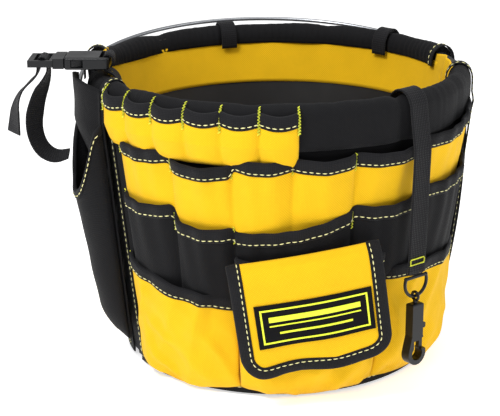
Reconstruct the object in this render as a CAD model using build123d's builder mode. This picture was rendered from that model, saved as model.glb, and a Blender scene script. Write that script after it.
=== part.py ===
"""Tool organizer for a 20 litre bucket: a split fabric skirt of pockets over a bucket with a wire bail.

Frame: millimetres, +Z up, origin at the centre of the bucket's base, -Y towards the lidded pocket.
A bearing is an angle in degrees about +Z, 0 at -Y, growing towards +X, so the bail's ears are at +90 and -90.
"""
import os
from math import asin, cos, degrees, radians, sin

from build123d import *

os.makedirs("parts", exist_ok=True)

# ---- bucket and bail ----
BASE_RADIUS = 128
BUCKET_TOP_RADIUS = 165
BUCKET_HEIGHT = 270
BUCKET_WALL = 2.2
BASE_THICKNESS = 3
BEAD_RADIUS = 168.5
BEAD_HEIGHT = 7
EAR_Z = 255
EAR_RADIUS = 7
EAR_REACH = 177
WIRE_RADIUS = 2
WIRE_CLEARANCE = 0.05
BAIL_RADIUS = 184
BAIL_BEND = 6
BAIL_REST_ANGLE = 6.5

# ---- fabric skirt, rim roll and inner band ----
FABRIC = 2.4
GAP = 0.3
CREST_Z = 277
ROLL_OUTER = 180
ROLL_INNER = 156
PANEL_TOP_RADIUS = 172.4
PANEL_HEM_RADIUS = 148
PANEL_TOP_Z = 236
PANEL_HEM_Z = 9
FRONT_HALF_SPAN = 72
REAR_PANEL_START = 80
REAR_ROLL_START = 98
BAND_TOP_Z = 251
BAND_BOTTOM_Z = 209
BINDING_SPAN = 2.2
BINDING_GROWTH = 1.2
HEM_Z = 3

# ---- pockets ----
POCKET_WALL = 2
FLOOR = 2
SEAM_HALF_SPAN = 0.7
BINDING_HEIGHT = 11
# each pocket: left bearing, right bearing, floor height, top height
LOOP_START = -69
LOOP_PITCH = 10.4
LOOP_COUNT = 6
UPPER_LOOPS = [
    (LOOP_START + LOOP_PITCH * n, LOOP_START + LOOP_PITCH * (n + 1), 238, 273) for n in range(LOOP_COUNT)
]
MIDDLE_POCKETS = [
    (-65, -44, 184, 231),
    (-44, -25, 172, 223),
    (-25, -8, 178, 231),
    (-8, 10, 181, 231),
    (10, 33, 190, 232),
    (33, 68, 195, 236),
]
BLACK_POCKETS = [
    (-65, -44, 122, 179),
    (-44, -25, 112, 167),
    (-25, 10, 146, 173),
    (10, 33, 146, 184),
    (33, 68, 124, 190),
]
LOWER_POCKETS = [(-67, -25, 9, 108), (22, 70, 9, 118)]
REAR_UPPER_POCKETS = [(104, 154, 124, 186), (154, 206, 124, 186), (206, 256, 124, 186)]
REAR_LOWER_POCKETS = [(104, 154, 9, 114), (154, 206, 9, 114), (206, 256, 9, 114)]

# ---- lidded pocket and its flap ----
LID_POCKET = (-25, 22, 9, 138)
LID_PUFF_LOW = 12
LID_PUFF_HIGH = 24
LID_BEARING = -5.3
LID_TILT = 8
HINGE_REACH = 178
HINGE_Z = 147
FLAP_WIDTH = 132
FLAP_HEIGHT = 114
FLAP_THICKNESS = 2.4
FLAP_CORNER = 16
HINGE_ROLL = 1.6
FLAP_BINDING = 12
LABEL_WIDTH = 100
LABEL_HEIGHT = 39
LABEL_THICKNESS = 1.4
LABEL_DROP = 66
TAPE_WIDTH = 50
TAPE_HEIGHT = 20
TAPE_THICKNESS = 2
TAPE_DROP = 84

# ---- holster ----
HOLSTER_LEFT = -88
HOLSTER_RIGHT = -70
HOLSTER_TAPER = 4
HOLSTER_FLOOR_Z = 30
HOLSTER_TOP_Z = 246
HOLSTER_BACK_LOW = 162
HOLSTER_BACK_HIGH = 183
HOLSTER_PUFF_LOW = 12
HOLSTER_PUFF_HIGH = 24
HOLSTER_DIP_Z = 168
HOLSTER_DIP_HALF = 9
HOLSTER_BINDING = 7

# ---- side-release buckle and its webbing ----
BUCKLE_CENTRE = (-194, -22.2, 288.5)
BUCKLE_DIRECTION = (-cos(radians(12)), sin(radians(12)), 0)
BUCKLE_WIDTH = 32
BUCKLE_THICKNESS = 11
SOCKET_END = 4
BUCKLE_HALF_LENGTH = 36
WEBBING_WIDTH = 20
WEBBING = 1.6

# ---- hanger strap, ring and snap hook ----
HANGER_BEARING = 27.5
HANGER_WIDTH = 20
HANGER_REACH = 189
RING_Z = 114.6
RING_WIRE = 1.5
RING_HALF_WIDTH = 12
RING_DROP = 18
RING_BOW_RADIUS = 13
STRAP_EYE_RADIUS = 3.4
SWIVEL_SHANK = 2
HOOK_TOP_Z = 90
HOOK_WIDTH = 13
HOOK_THICKNESS = 9
HOOK_EYE_Z = 42.5
HOOK_EYE_OUTER = 10.5
HOOK_EYE_INNER = 6.2
BOLT_WIDTH = 4
BOLT_LOW_Z = 46.3
BOLT_TOP_Z = 72
CHANNEL_TOP_Z = 81.5


def polar(radius, bearing):
    """The horizontal point at a radius and bearing."""
    return (radius * sin(radians(bearing)), -radius * cos(radians(bearing)))


def radial_plane(bearing):
    """An upright plane through the bucket's axis: x outward at the bearing, y up."""
    outward = polar(1, bearing)
    return Plane(origin=(0, 0, 0), x_dir=(*outward, 0), z_dir=(outward[1], -outward[0], 0))


def facing_plane(bearing, reach, height=0, tilt=0):
    """An upright plane square to the bearing: x to the right as seen from outside, y up, z outward."""
    outward = polar(1, bearing)
    right = (-outward[1], outward[0])
    along = (right[0] * cos(radians(tilt)), right[1] * cos(radians(tilt)), sin(radians(tilt)))
    origin = (outward[0] * reach, outward[1] * reach, height)
    return Plane(origin=origin, x_dir=along, z_dir=(*outward, 0))


def bucket_radius(z):
    """The bucket's outer radius at a height."""
    return BASE_RADIUS + (BUCKET_TOP_RADIUS - BASE_RADIUS) * z / BUCKET_HEIGHT


def panel_radius(z):
    """The outer radius of the skirt's base fabric at a height."""
    share = (z - PANEL_HEM_Z) / (PANEL_TOP_Z - PANEL_HEM_Z)
    return PANEL_HEM_RADIUS + (PANEL_TOP_RADIUS - PANEL_HEM_RADIUS) * share


def holster_back(z):
    """The radius of the holster's back at a height."""
    share = (z - HOLSTER_FLOOR_Z) / (HOLSTER_TOP_Z - HOLSTER_FLOOR_Z)
    return HOLSTER_BACK_LOW + (HOLSTER_BACK_HIGH - HOLSTER_BACK_LOW) * share


def save(part, name):
    """Label a finished piece and write its STEP file."""
    part.part.label = name
    export_step(part.part, f"parts/{name}.step")


def crescent(z, left, right, radius, puff):
    """The plan of a puffed pocket: a round back and a bulging front that meet at the seams."""
    middle = (left + right) / 2
    with BuildSketch(Plane.XY.offset(z)) as plan:
        with BuildLine():
            ThreePointArc(polar(radius, left), polar(radius + puff, middle), polar(radius, right))
            ThreePointArc(polar(radius, right), polar(radius, middle), polar(radius, left))
        make_face()
    return plan.sketch


def trough(low, high, wall, floor=FLOOR):
    """Loft a pocket shell between two crescents, open at the back and the top.

    low and high are (height, left bearing, right bearing, back radius, puff).
    """
    inset = 1.2
    hollow = []
    for z, left, right, radius, puff in (low, high):
        lift = floor if z == low[0] else 0
        hollow.append(crescent(z + lift, left + inset, right - inset, radius - 1, puff - wall + 1))
    loft([crescent(*low), crescent(*high)])
    loft(hollow, mode=Mode.SUBTRACT)


def pocket_puff(z, pocket, puffs):
    """The puff of a pocket at a height, between its low and high puffs."""
    floor_z, top_z = pocket[2], pocket[3]
    return puffs[0] + (puffs[1] - puffs[0]) * (z - floor_z) / (top_z - floor_z)


def pocket_row(pockets, puffs, back):
    """The fabric of a row of pockets, each up to its binding."""
    for pocket in pockets:
        left, right, floor_z, top_z = pocket
        left += SEAM_HALF_SPAN
        right -= SEAM_HALF_SPAN
        rim_z = top_z - BINDING_HEIGHT
        low = (floor_z, left, right, back(floor_z) + GAP, puffs[0])
        high = (rim_z, left, right, back(rim_z) + GAP, pocket_puff(rim_z, pocket, puffs))
        trough(low, high, POCKET_WALL)


def binding_row(pockets, puffs, back):
    """The bindings folded over the top edges of a row of pockets."""
    growth = 0.7
    for pocket in pockets:
        left, right, floor_z, top_z = pocket
        left += SEAM_HALF_SPAN
        right -= SEAM_HALF_SPAN
        rim_z = top_z - BINDING_HEIGHT
        rim_puff = pocket_puff(rim_z, pocket, puffs) + growth
        low = (rim_z, left, right, back(rim_z) + GAP, rim_puff)
        high = (top_z, left, right, back(top_z) + GAP, puffs[1] + growth)
        trough(low, high, POCKET_WALL + 2 * growth, floor=0)


def roll_profile(bearing, growth=0):
    """The padded roll's section at a bearing: a thick inverted U over the bucket's rim."""
    slot_top = BUCKET_HEIGHT + 0.6
    bead_side = BEAD_RADIUS + 0.7
    bead_low = BUCKET_HEIGHT - BEAD_HEIGHT - 0.6
    crest_r = (ROLL_OUTER + ROLL_INNER) / 2
    shoulder_z = CREST_Z - 15
    outer = (ROLL_OUTER + growth, shoulder_z)
    inner = (ROLL_INNER - growth, shoulder_z)
    with BuildSketch(radial_plane(bearing)) as section:
        with BuildLine():
            ThreePointArc(outer, (crest_r, CREST_Z + growth), inner)
            Polyline(
                inner,
                (ROLL_INNER - growth, BAND_TOP_Z),
                (bucket_radius(BAND_TOP_Z) - BUCKET_WALL - 0.5, BAND_TOP_Z),
                (bucket_radius(slot_top) - BUCKET_WALL - 0.5, slot_top),
                (bead_side, slot_top),
                (bead_side, bead_low),
                (bucket_radius(bead_low) + 0.7, bead_low),
                (bucket_radius(PANEL_TOP_Z) + 0.7, PANEL_TOP_Z),
                (PANEL_TOP_RADIUS + growth, PANEL_TOP_Z),
                (ROLL_OUTER + growth, PANEL_TOP_Z + 9),
                outer,
            )
        make_face()
    return section.sketch


def ring_profile(bearing, *corners):
    """A section at a bearing with straight sides, its corners given as (radius, height)."""
    with BuildSketch(radial_plane(bearing)) as section:
        with BuildLine():
            Polyline(*corners, close=True)
        make_face()
    return section.sketch


def panel_profile(bearing, growth=0):
    """The skirt fabric's section at a bearing, between the hem and the rim roll."""
    return ring_profile(
        bearing,
        (PANEL_HEM_RADIUS + growth, PANEL_HEM_Z),
        (PANEL_TOP_RADIUS + growth, PANEL_TOP_Z),
        (PANEL_TOP_RADIUS - FABRIC - growth, PANEL_TOP_Z),
        (PANEL_HEM_RADIUS - FABRIC - growth, PANEL_HEM_Z),
    )


# ---- bucket ----
with BuildPart() as bucket:
    with BuildSketch(Plane.XZ):
        with BuildLine():
            Polyline(
                (0, 0),
                (BASE_RADIUS, 0),
                (bucket_radius(BUCKET_HEIGHT - BEAD_HEIGHT), BUCKET_HEIGHT - BEAD_HEIGHT),
                (BEAD_RADIUS, BUCKET_HEIGHT - BEAD_HEIGHT),
                (BEAD_RADIUS, BUCKET_HEIGHT),
                (BUCKET_TOP_RADIUS - BUCKET_WALL, BUCKET_HEIGHT),
                (bucket_radius(BASE_THICKNESS) - BUCKET_WALL, BASE_THICKNESS),
                (0, BASE_THICKNESS),
                close=True,
            )
        make_face()
    revolve(axis=Axis.Z)
    for side in (-1, 1):
        ear_root = bucket_radius(EAR_Z) - BUCKET_WALL / 2
        with BuildSketch(Plane(origin=(side * ear_root, 0, EAR_Z), x_dir=(0, 1, 0), z_dir=(side, 0, 0))):
            Circle(EAR_RADIUS)
        extrude(amount=EAR_REACH - ear_root)
        bore_depth = EAR_REACH - ear_root - 1.5
        with BuildSketch(Plane(origin=(side * EAR_REACH, 0, EAR_Z), x_dir=(0, 1, 0), z_dir=(side, 0, 0))):
            Circle(WIRE_RADIUS + WIRE_CLEARANCE)
        extrude(amount=-bore_depth, mode=Mode.SUBTRACT)
save(bucket, "bucket")

# ---- bail: a wire bow whose turned-in ends sit in the ears ----
bail_up = (0, cos(radians(BAIL_REST_ANGLE)), sin(radians(BAIL_REST_ANGLE)))
bail_plane = Plane(origin=(0, 0, EAR_Z), x_dir=(1, 0, 0), z_dir=(0, -bail_up[2], bail_up[1]))
with BuildPart() as bail_wire:
    tip = EAR_REACH - 11
    with BuildLine(bail_plane) as bail_path:
        Line((tip, 0), (BAIL_RADIUS - BAIL_BEND, 0))
        RadiusArc((BAIL_RADIUS - BAIL_BEND, 0), (BAIL_RADIUS, BAIL_BEND), -BAIL_BEND)
        ThreePointArc((BAIL_RADIUS, BAIL_BEND), (0, BAIL_BEND + BAIL_RADIUS), (-BAIL_RADIUS, BAIL_BEND))
        RadiusArc((-BAIL_RADIUS, BAIL_BEND), (BAIL_BEND - BAIL_RADIUS, 0), -BAIL_BEND)
        Line((BAIL_BEND - BAIL_RADIUS, 0), (-tip, 0))
    with BuildSketch(Plane(origin=(tip, 0, EAR_Z), x_dir=(0, 1, 0), z_dir=(1, 0, 0))):
        Circle(WIRE_RADIUS)
    sweep()
save(bail_wire, "bail_wire")

# ---- skirt: front and rear base panels, rim rolls, inner bands, edge and hem bindings ----
rear_panel_span = 360 - 2 * REAR_PANEL_START
rear_roll_span = 360 - 2 * REAR_ROLL_START
panels = {
    "base_panel_front": (-FRONT_HALF_SPAN, 2 * FRONT_HALF_SPAN),
    "base_panel_rear": (REAR_PANEL_START, rear_panel_span),
}
for panel_name, (start, span) in panels.items():
    with BuildPart() as base_panel:
        revolve(panel_profile(start), axis=Axis.Z, revolution_arc=span)
    save(base_panel, panel_name)

rolls = {
    "rim_roll_front": (-FRONT_HALF_SPAN, 2 * FRONT_HALF_SPAN),
    "rim_roll_rear": (REAR_ROLL_START, rear_roll_span),
}
for roll_name, (start, span) in rolls.items():
    with BuildPart() as rim_roll:
        revolve(roll_profile(start), axis=Axis.Z, revolution_arc=span)
    save(rim_roll, roll_name)

bands = {"inner_band_front": -89.7, "inner_band_rear": 90.3}
for band_name, start in bands.items():
    with BuildPart() as inner_band:
        top_face = bucket_radius(BAND_TOP_Z) - BUCKET_WALL - 0.4
        low_face = bucket_radius(BAND_BOTTOM_Z) - BUCKET_WALL - 0.4
        band_profile = ring_profile(
            start,
            (top_face, BAND_TOP_Z - 0.2),
            (top_face - FABRIC, BAND_TOP_Z - 0.2),
            (low_face - FABRIC, BAND_BOTTOM_Z),
            (low_face, BAND_BOTTOM_Z),
        )
        revolve(band_profile, axis=Axis.Z, revolution_arc=179.4)
    save(inner_band, band_name)

front_edges = {
    "front_edge_binding_left": -FRONT_HALF_SPAN - BINDING_SPAN,
    "front_edge_binding_right": FRONT_HALF_SPAN,
}
for edge_name, start in front_edges.items():
    with BuildPart() as edge_binding:
        revolve(roll_profile(start, BINDING_GROWTH), axis=Axis.Z, revolution_arc=BINDING_SPAN)
        revolve(panel_profile(start, BINDING_GROWTH), axis=Axis.Z, revolution_arc=BINDING_SPAN)
    save(edge_binding, edge_name)

roll_ends = {
    "rear_roll_binding_right": REAR_ROLL_START - BINDING_SPAN,
    "rear_roll_binding_left": 360 - REAR_ROLL_START,
}
for edge_name, start in roll_ends.items():
    with BuildPart() as edge_binding:
        revolve(roll_profile(start, BINDING_GROWTH), axis=Axis.Z, revolution_arc=BINDING_SPAN)
    save(edge_binding, edge_name)

rear_edges = {
    "rear_edge_binding_right": REAR_PANEL_START - BINDING_SPAN,
    "rear_edge_binding_left": 360 - REAR_PANEL_START,
}
for edge_name, start in rear_edges.items():
    with BuildPart() as edge_binding:
        revolve(panel_profile(start, BINDING_GROWTH), axis=Axis.Z, revolution_arc=BINDING_SPAN)
    save(edge_binding, edge_name)

hems = {"hem_binding_front": panels["base_panel_front"], "hem_binding_rear": panels["base_panel_rear"]}
for hem_name, (start, span) in hems.items():
    with BuildPart() as hem_binding:
        hem_profile = ring_profile(
            start,
            (PANEL_HEM_RADIUS + 0.1, HEM_Z),
            (PANEL_HEM_RADIUS + 0.1, PANEL_HEM_Z),
            (PANEL_HEM_RADIUS - FABRIC - 1, PANEL_HEM_Z),
            (PANEL_HEM_RADIUS - FABRIC - 1, HEM_Z),
        )
        revolve(hem_profile, axis=Axis.Z, revolution_arc=span)
    save(hem_binding, hem_name)


# ---- rows of pockets ----
def roll_side(z):
    """The outer radius of the rim roll, behind the upper loops."""
    return ROLL_OUTER


rows = {
    "upper_loop": (UPPER_LOOPS, (8, 14), roll_side),
    "middle_pocket": (MIDDLE_POCKETS, (11, 16), panel_radius),
    "black_pocket": (BLACK_POCKETS, (11, 15), panel_radius),
    "lower_pocket": (LOWER_POCKETS, (10, 27), panel_radius),
    "rear_upper_pocket": (REAR_UPPER_POCKETS, (11, 16), panel_radius),
    "rear_lower_pocket": (REAR_LOWER_POCKETS, (10, 22), panel_radius),
    "lid_pocket": ([LID_POCKET], (LID_PUFF_LOW, LID_PUFF_HIGH), panel_radius),
}
for row_name, (row_pockets, row_puffs, row_back) in rows.items():
    with BuildPart() as row_fabric:
        pocket_row(row_pockets, row_puffs, row_back)
    save(row_fabric, f"{row_name}_fabric")
    with BuildPart() as row_binding:
        binding_row(row_pockets, row_puffs, row_back)
    save(row_binding, f"{row_name}_binding")

# ---- flap over the lidded pocket ----
flap_plane = facing_plane(LID_BEARING, HINGE_REACH, HINGE_Z, LID_TILT)
flap_side = Plane(origin=flap_plane.origin, x_dir=flap_plane.z_dir, z_dir=-flap_plane.x_dir)
FLAP_BEND = (15, -10)
FLAP_TIP = (6, -FLAP_HEIGHT)


def flap_slab(growth=0):
    """Extrude the flap's side view: out over the pocket's mouth, then down its front."""
    with BuildSketch(flap_side) as section:
        with BuildLine():
            FilletPolyline((-0.5, 0), FLAP_BEND, FLAP_TIP, radius=9)
        trace(line_width=FLAP_THICKNESS + 2 * growth)
        Circle(HINGE_ROLL + growth)
    extrude(section.sketch, amount=FLAP_WIDTH / 2, both=True)


def flap_trim(margin, mode):
    """Trim the flap with its front view, rounded at the free corners, less a margin on its free edges."""
    width = FLAP_WIDTH - 2 * margin
    height = FLAP_HEIGHT + 40 - margin
    with BuildSketch(flap_plane) as outline:
        with Locations((0, 40 - height / 2)):
            RectangleRounded(width, height, FLAP_CORNER - margin / 2)
    extrude(outline.sketch, amount=40, both=True, mode=mode)


def flap_front(drop):
    """The distance of the flap's centre surface in front of the hinge, at a drop below it."""
    share = (drop + FLAP_BEND[1]) / (FLAP_HEIGHT + FLAP_BEND[1])
    return FLAP_BEND[0] + (FLAP_TIP[0] - FLAP_BEND[0]) * share


with BuildPart() as lid_flap:
    flap_slab()
    flap_trim(FLAP_BINDING, Mode.INTERSECT)
save(lid_flap, "lid_flap")

with BuildPart() as lid_flap_binding:
    flap_slab(0.7)
    flap_trim(0, Mode.INTERSECT)
    flap_trim(FLAP_BINDING, Mode.SUBTRACT)
save(lid_flap_binding, "lid_flap_binding")

lean = (FLAP_TIP[0] - FLAP_BEND[0], FLAP_TIP[1] - FLAP_BEND[1])
lean_length = (lean[0] ** 2 + lean[1] ** 2) ** 0.5
lean_out = lean[0] / lean_length
lean_down = lean[1] / lean_length
face_down = flap_plane.z_dir * lean_out + flap_plane.y_dir * lean_down
face_out = flap_plane.x_dir.cross(-face_down)


def flap_face_plane(drop, lift):
    """A plane on the flap's leaning face, at a drop below the hinge, lifted off its middle surface."""
    middle = flap_plane.origin + flap_plane.z_dir * flap_front(drop) - flap_plane.y_dir * drop
    return Plane(origin=middle + face_out * lift, x_dir=flap_plane.x_dir, z_dir=face_out)


with BuildPart() as label_patch:
    with BuildSketch(flap_face_plane(LABEL_DROP, FLAP_THICKNESS / 2)):
        Rectangle(LABEL_WIDTH, LABEL_HEIGHT)
    extrude(amount=LABEL_THICKNESS)
save(label_patch, "label_patch")

with BuildPart() as hook_tape:
    with BuildSketch(flap_face_plane(TAPE_DROP, -FLAP_THICKNESS / 2)):
        Rectangle(TAPE_WIDTH, TAPE_HEIGHT)
    extrude(amount=-TAPE_THICKNESS)
save(hook_tape, "hook_tape")

with BuildPart() as loop_tape:
    left, right, floor_z, top_z = LID_POCKET
    left += SEAM_HALF_SPAN
    right -= SEAM_HALF_SPAN
    tape_z = HINGE_Z - TAPE_DROP
    tape_rim = top_z - BINDING_HEIGHT
    rim_puff = pocket_puff(tape_rim, LID_POCKET, (LID_PUFF_LOW, LID_PUFF_HIGH))
    for raised, how in ((TAPE_THICKNESS, Mode.ADD), (GAP / 3, Mode.SUBTRACT)):
        foot = crescent(floor_z, left, right, panel_radius(floor_z) + GAP, LID_PUFF_LOW + raised)
        rim = crescent(tape_rim, left, right, panel_radius(tape_rim) + GAP, rim_puff + raised)
        loft([foot, rim], mode=how)
    with BuildSketch(facing_plane(LID_BEARING, 120, tape_z)):
        Rectangle(TAPE_WIDTH, TAPE_HEIGHT)
    extrude(amount=120, mode=Mode.INTERSECT)
save(loop_tape, "loop_tape")

# ---- holster on the left: a back panel and a bulging front with a deep bound dip ----
holster_middle = (HOLSTER_LEFT + HOLSTER_RIGHT) / 2
holster_low = (
    HOLSTER_FLOOR_Z,
    HOLSTER_LEFT + HOLSTER_TAPER,
    HOLSTER_RIGHT - HOLSTER_TAPER,
    HOLSTER_BACK_LOW,
    HOLSTER_PUFF_LOW,
)
holster_high = (HOLSTER_TOP_Z, HOLSTER_LEFT, HOLSTER_RIGHT, HOLSTER_BACK_HIGH, HOLSTER_PUFF_HIGH)


def holster_dip(margin, mode):
    """Cut or keep the dip in the holster's front, a slot with a round bottom, grown by a margin."""
    half = HOLSTER_DIP_HALF + margin
    dip_plane = facing_plane(holster_middle, HOLSTER_BACK_HIGH - 12)
    with BuildSketch(dip_plane) as dip:
        with Locations((0, HOLSTER_DIP_Z + HOLSTER_DIP_HALF)):
            Circle(half)
        with Locations((0, HOLSTER_DIP_Z + HOLSTER_DIP_HALF + 60)):
            Rectangle(2 * half, 120)
    extrude(dip.sketch, amount=60, mode=mode)


with BuildPart() as holster_front:
    trough(holster_low, holster_high, POCKET_WALL)
    holster_dip(HOLSTER_BINDING, Mode.SUBTRACT)
save(holster_front, "holster_front")

with BuildPart() as holster_binding:
    grown_low = (*holster_low[:4], HOLSTER_PUFF_LOW + 0.7)
    grown_high = (*holster_high[:4], HOLSTER_PUFF_HIGH + 0.7)
    trough(grown_low, grown_high, POCKET_WALL + 1.4)
    holster_dip(HOLSTER_BINDING, Mode.INTERSECT)
    holster_dip(0, Mode.SUBTRACT)
save(holster_binding, "holster_binding")

with BuildPart() as holster_back_panel:
    back_profile = ring_profile(
        HOLSTER_LEFT,
        (HOLSTER_BACK_LOW - GAP, HOLSTER_FLOOR_Z),
        (HOLSTER_BACK_HIGH - GAP, HOLSTER_TOP_Z),
        (HOLSTER_BACK_HIGH - GAP - 1.2, HOLSTER_TOP_Z),
        (HOLSTER_BACK_LOW - GAP - 1.2, HOLSTER_FLOOR_Z),
    )
    revolve(back_profile, axis=Axis.Z, revolution_arc=HOLSTER_RIGHT - HOLSTER_LEFT)
save(holster_back_panel, "holster_back")

# ---- side-release buckle: local x outboard along its length, z up ----
buckle_plane = Plane(origin=BUCKLE_CENTRE, x_dir=BUCKLE_DIRECTION, z_dir=(0, 0, 1))
side_direction = buckle_plane.x_dir.cross(Vector(0, 0, 1))
buckle_side = Plane(origin=BUCKLE_CENTRE, x_dir=BUCKLE_DIRECTION, z_dir=side_direction)


def buckle_block(x_low, x_high, half_width, half_thickness, mode=Mode.ADD, y=0):
    """A block in the buckle's own frame, centred in thickness."""
    with BuildSketch(buckle_plane.offset(-half_thickness)) as outline:
        with Locations(((x_low + x_high) / 2, y)):
            Rectangle(x_high - x_low, 2 * half_width)
    extrude(outline.sketch, amount=2 * half_thickness, mode=mode)


SLOT_HALF_WIDTH = 13
half_width = BUCKLE_WIDTH / 2
half_thickness = BUCKLE_THICKNESS / 2
with BuildPart() as buckle_socket:
    with BuildSketch(buckle_plane.offset(-half_thickness)):
        with Locations(((SOCKET_END - BUCKLE_HALF_LENGTH) / 2, 0)):
            RectangleRounded(SOCKET_END + BUCKLE_HALF_LENGTH, BUCKLE_WIDTH, 3)
    extrude(amount=BUCKLE_THICKNESS)
    fillet(buckle_socket.faces().sort_by(Axis.Z)[-1].edges(), 2)
    fillet(buckle_socket.faces().sort_by(Axis.Z)[0].edges(), 2)
    buckle_block(-22, SOCKET_END, 12, 3.4, Mode.SUBTRACT)
    buckle_block(-13, -2, half_width + 1, 3.4, Mode.SUBTRACT)
    buckle_block(-32.5, -27, SLOT_HALF_WIDTH, half_thickness + 1, Mode.SUBTRACT)
save(buckle_socket, "buckle_socket")

with BuildPart() as buckle_plug:
    buckle_block(SOCKET_END + GAP, 14, 15, 4.6)
    buckle_block(14, BUCKLE_HALF_LENGTH, half_width, 3)
    buckle_block(-18, SOCKET_END + GAP, 2.6, 2.4)
    buckle_block(17, 22, SLOT_HALF_WIDTH, 6, Mode.SUBTRACT)
    buckle_block(25.5, 31, SLOT_HALF_WIDTH, 6, Mode.SUBTRACT)
save(buckle_plug, "buckle_plug")

with BuildPart() as buckle_prongs:
    for side in (-1, 1):
        buckle_block(-12, SOCKET_END + GAP, 1.6, 2.8, y=side * 9.4)
        with BuildSketch(buckle_plane.offset(-2.8)):
            with BuildLine():
                Polyline(
                    (-12, side * 9),
                    (-16, side * 8),
                    (-12.6, side * 11.6),
                    (-2.6, side * 15.6),
                    (-2.6, side * 9),
                    close=True,
                )
            make_face()
        extrude(amount=5.6)
save(buckle_prongs, "buckle_prongs")

with BuildPart() as anchor_strap:
    with BuildSketch(buckle_side):
        with BuildLine():
            FilletPolyline(
                (-45, -35.5),
                (-43.5, -17),
                (-37.5, -9.5),
                (-29.7, -7.3),
                (-29.7, 7),
                (-38.7, 7),
                (-38.7, -3),
                radius=1,
            )
        trace(line_width=WEBBING)
    extrude(amount=WEBBING_WIDTH / 2, both=True)
save(anchor_strap, "anchor_strap")

with BuildPart() as adjuster_strap:
    with BuildSketch(buckle_side):
        with BuildLine():
            FilletPolyline(
                (5, -86.5),
                (18, -90),
                (31, -81),
                (36.5, -60),
                (31, -34),
                (19.6, -12),
                (19.6, 4.6),
                (28.2, 4.6),
                (28.2, -12),
                (40, -22),
                (51, -37),
                (54, -67),
                radius=2,
            )
        trace(line_width=WEBBING)
    extrude(amount=WEBBING_WIDTH / 2, both=True)
save(adjuster_strap, "adjuster_strap")

# ---- hanger strap over the front rim, with its end bar ----
hanger_plane = radial_plane(HANGER_BEARING)
strap_half = WEBBING / 2
with BuildPart() as hanger_strap:
    with BuildSketch(hanger_plane):
        crest_r = (ROLL_OUTER + ROLL_INNER) / 2
        lift = strap_half + GAP
        with BuildLine():
            inside = (ROLL_INNER - lift - 0.4, CREST_Z - 15)
            outside = (ROLL_OUTER + lift, CREST_Z - 15)
            Line((inside[0], CREST_Z - 22), inside)
            ThreePointArc(inside, (crest_r, CREST_Z + lift), outside)
            Polyline(outside, (HANGER_REACH - 1.2, 234), (HANGER_REACH, RING_Z + 2.5))
        trace(line_width=WEBBING)
        with Locations((HANGER_REACH, RING_Z)):
            Circle(STRAP_EYE_RADIUS)
            Circle(RING_WIRE + 0.06, mode=Mode.SUBTRACT)
    extrude(amount=HANGER_WIDTH / 2, both=True)
save(hanger_strap, "hanger_strap")

with BuildPart() as hanger_end_bar:
    with BuildSketch(facing_plane(HANGER_BEARING, ROLL_INNER - 2 * strap_half - 2 * GAP, CREST_Z - 26)):
        RectangleRounded(HANGER_WIDTH + 6, 8, 2)
    extrude(amount=-4)
save(hanger_end_bar, "hanger_end_bar")

# ---- ring and snap hook hanging from the strap, drawn in the plane square to their bearing ----
hang_plane = facing_plane(HANGER_BEARING, HANGER_REACH)
with BuildPart() as d_ring:
    ring_left = hang_plane.from_local_coords((-RING_HALF_WIDTH, RING_Z, 0))
    ring_right = hang_plane.from_local_coords((RING_HALF_WIDTH, RING_Z, 0))
    with BuildSketch(Plane(origin=ring_left, z_dir=hang_plane.x_dir)):
        Circle(RING_WIRE)
    extrude(amount=2 * RING_HALF_WIDTH)
    with Locations(ring_left, ring_right):
        Sphere(RING_WIRE + 0.3)
    bow_centre = hang_plane.from_local_coords((0, RING_Z - RING_DROP + RING_BOW_RADIUS, 0))
    bow_lean = degrees(asin((RING_BOW_RADIUS - RING_DROP) / RING_BOW_RADIUS))
    with BuildSketch(Plane(origin=ring_right, z_dir=hang_plane.z_dir.cross(ring_right - bow_centre))):
        Circle(RING_WIRE)
    revolve(axis=Axis(bow_centre, -hang_plane.z_dir), revolution_arc=180 - 2 * bow_lean)
save(d_ring, "d_ring")

LINK_Z = RING_Z - RING_DROP
LINK_HOLE = 2.4
LINK_WIRE = 1.3
SHANK_TOP_Z = LINK_Z - LINK_HOLE - LINK_WIRE
HEAD_Z = 83.4
with BuildPart() as swivel_eye:
    with Locations(Plane(origin=hang_plane.from_local_coords((0, LINK_Z, 0)), z_dir=hang_plane.x_dir)):
        Torus(LINK_HOLE + LINK_WIRE, LINK_WIRE)
    with BuildSketch(Plane(origin=hang_plane.from_local_coords((0, HEAD_Z, 0)), z_dir=(0, 0, 1))):
        Circle(3.5)
    extrude(amount=1.8)
    with BuildSketch(Plane(origin=hang_plane.from_local_coords((0, HEAD_Z, 0)), z_dir=(0, 0, 1))):
        Circle(SWIVEL_SHANK)
    extrude(amount=SHANK_TOP_Z + 0.6 - HEAD_Z)
save(swivel_eye, "swivel_eye")

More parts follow.
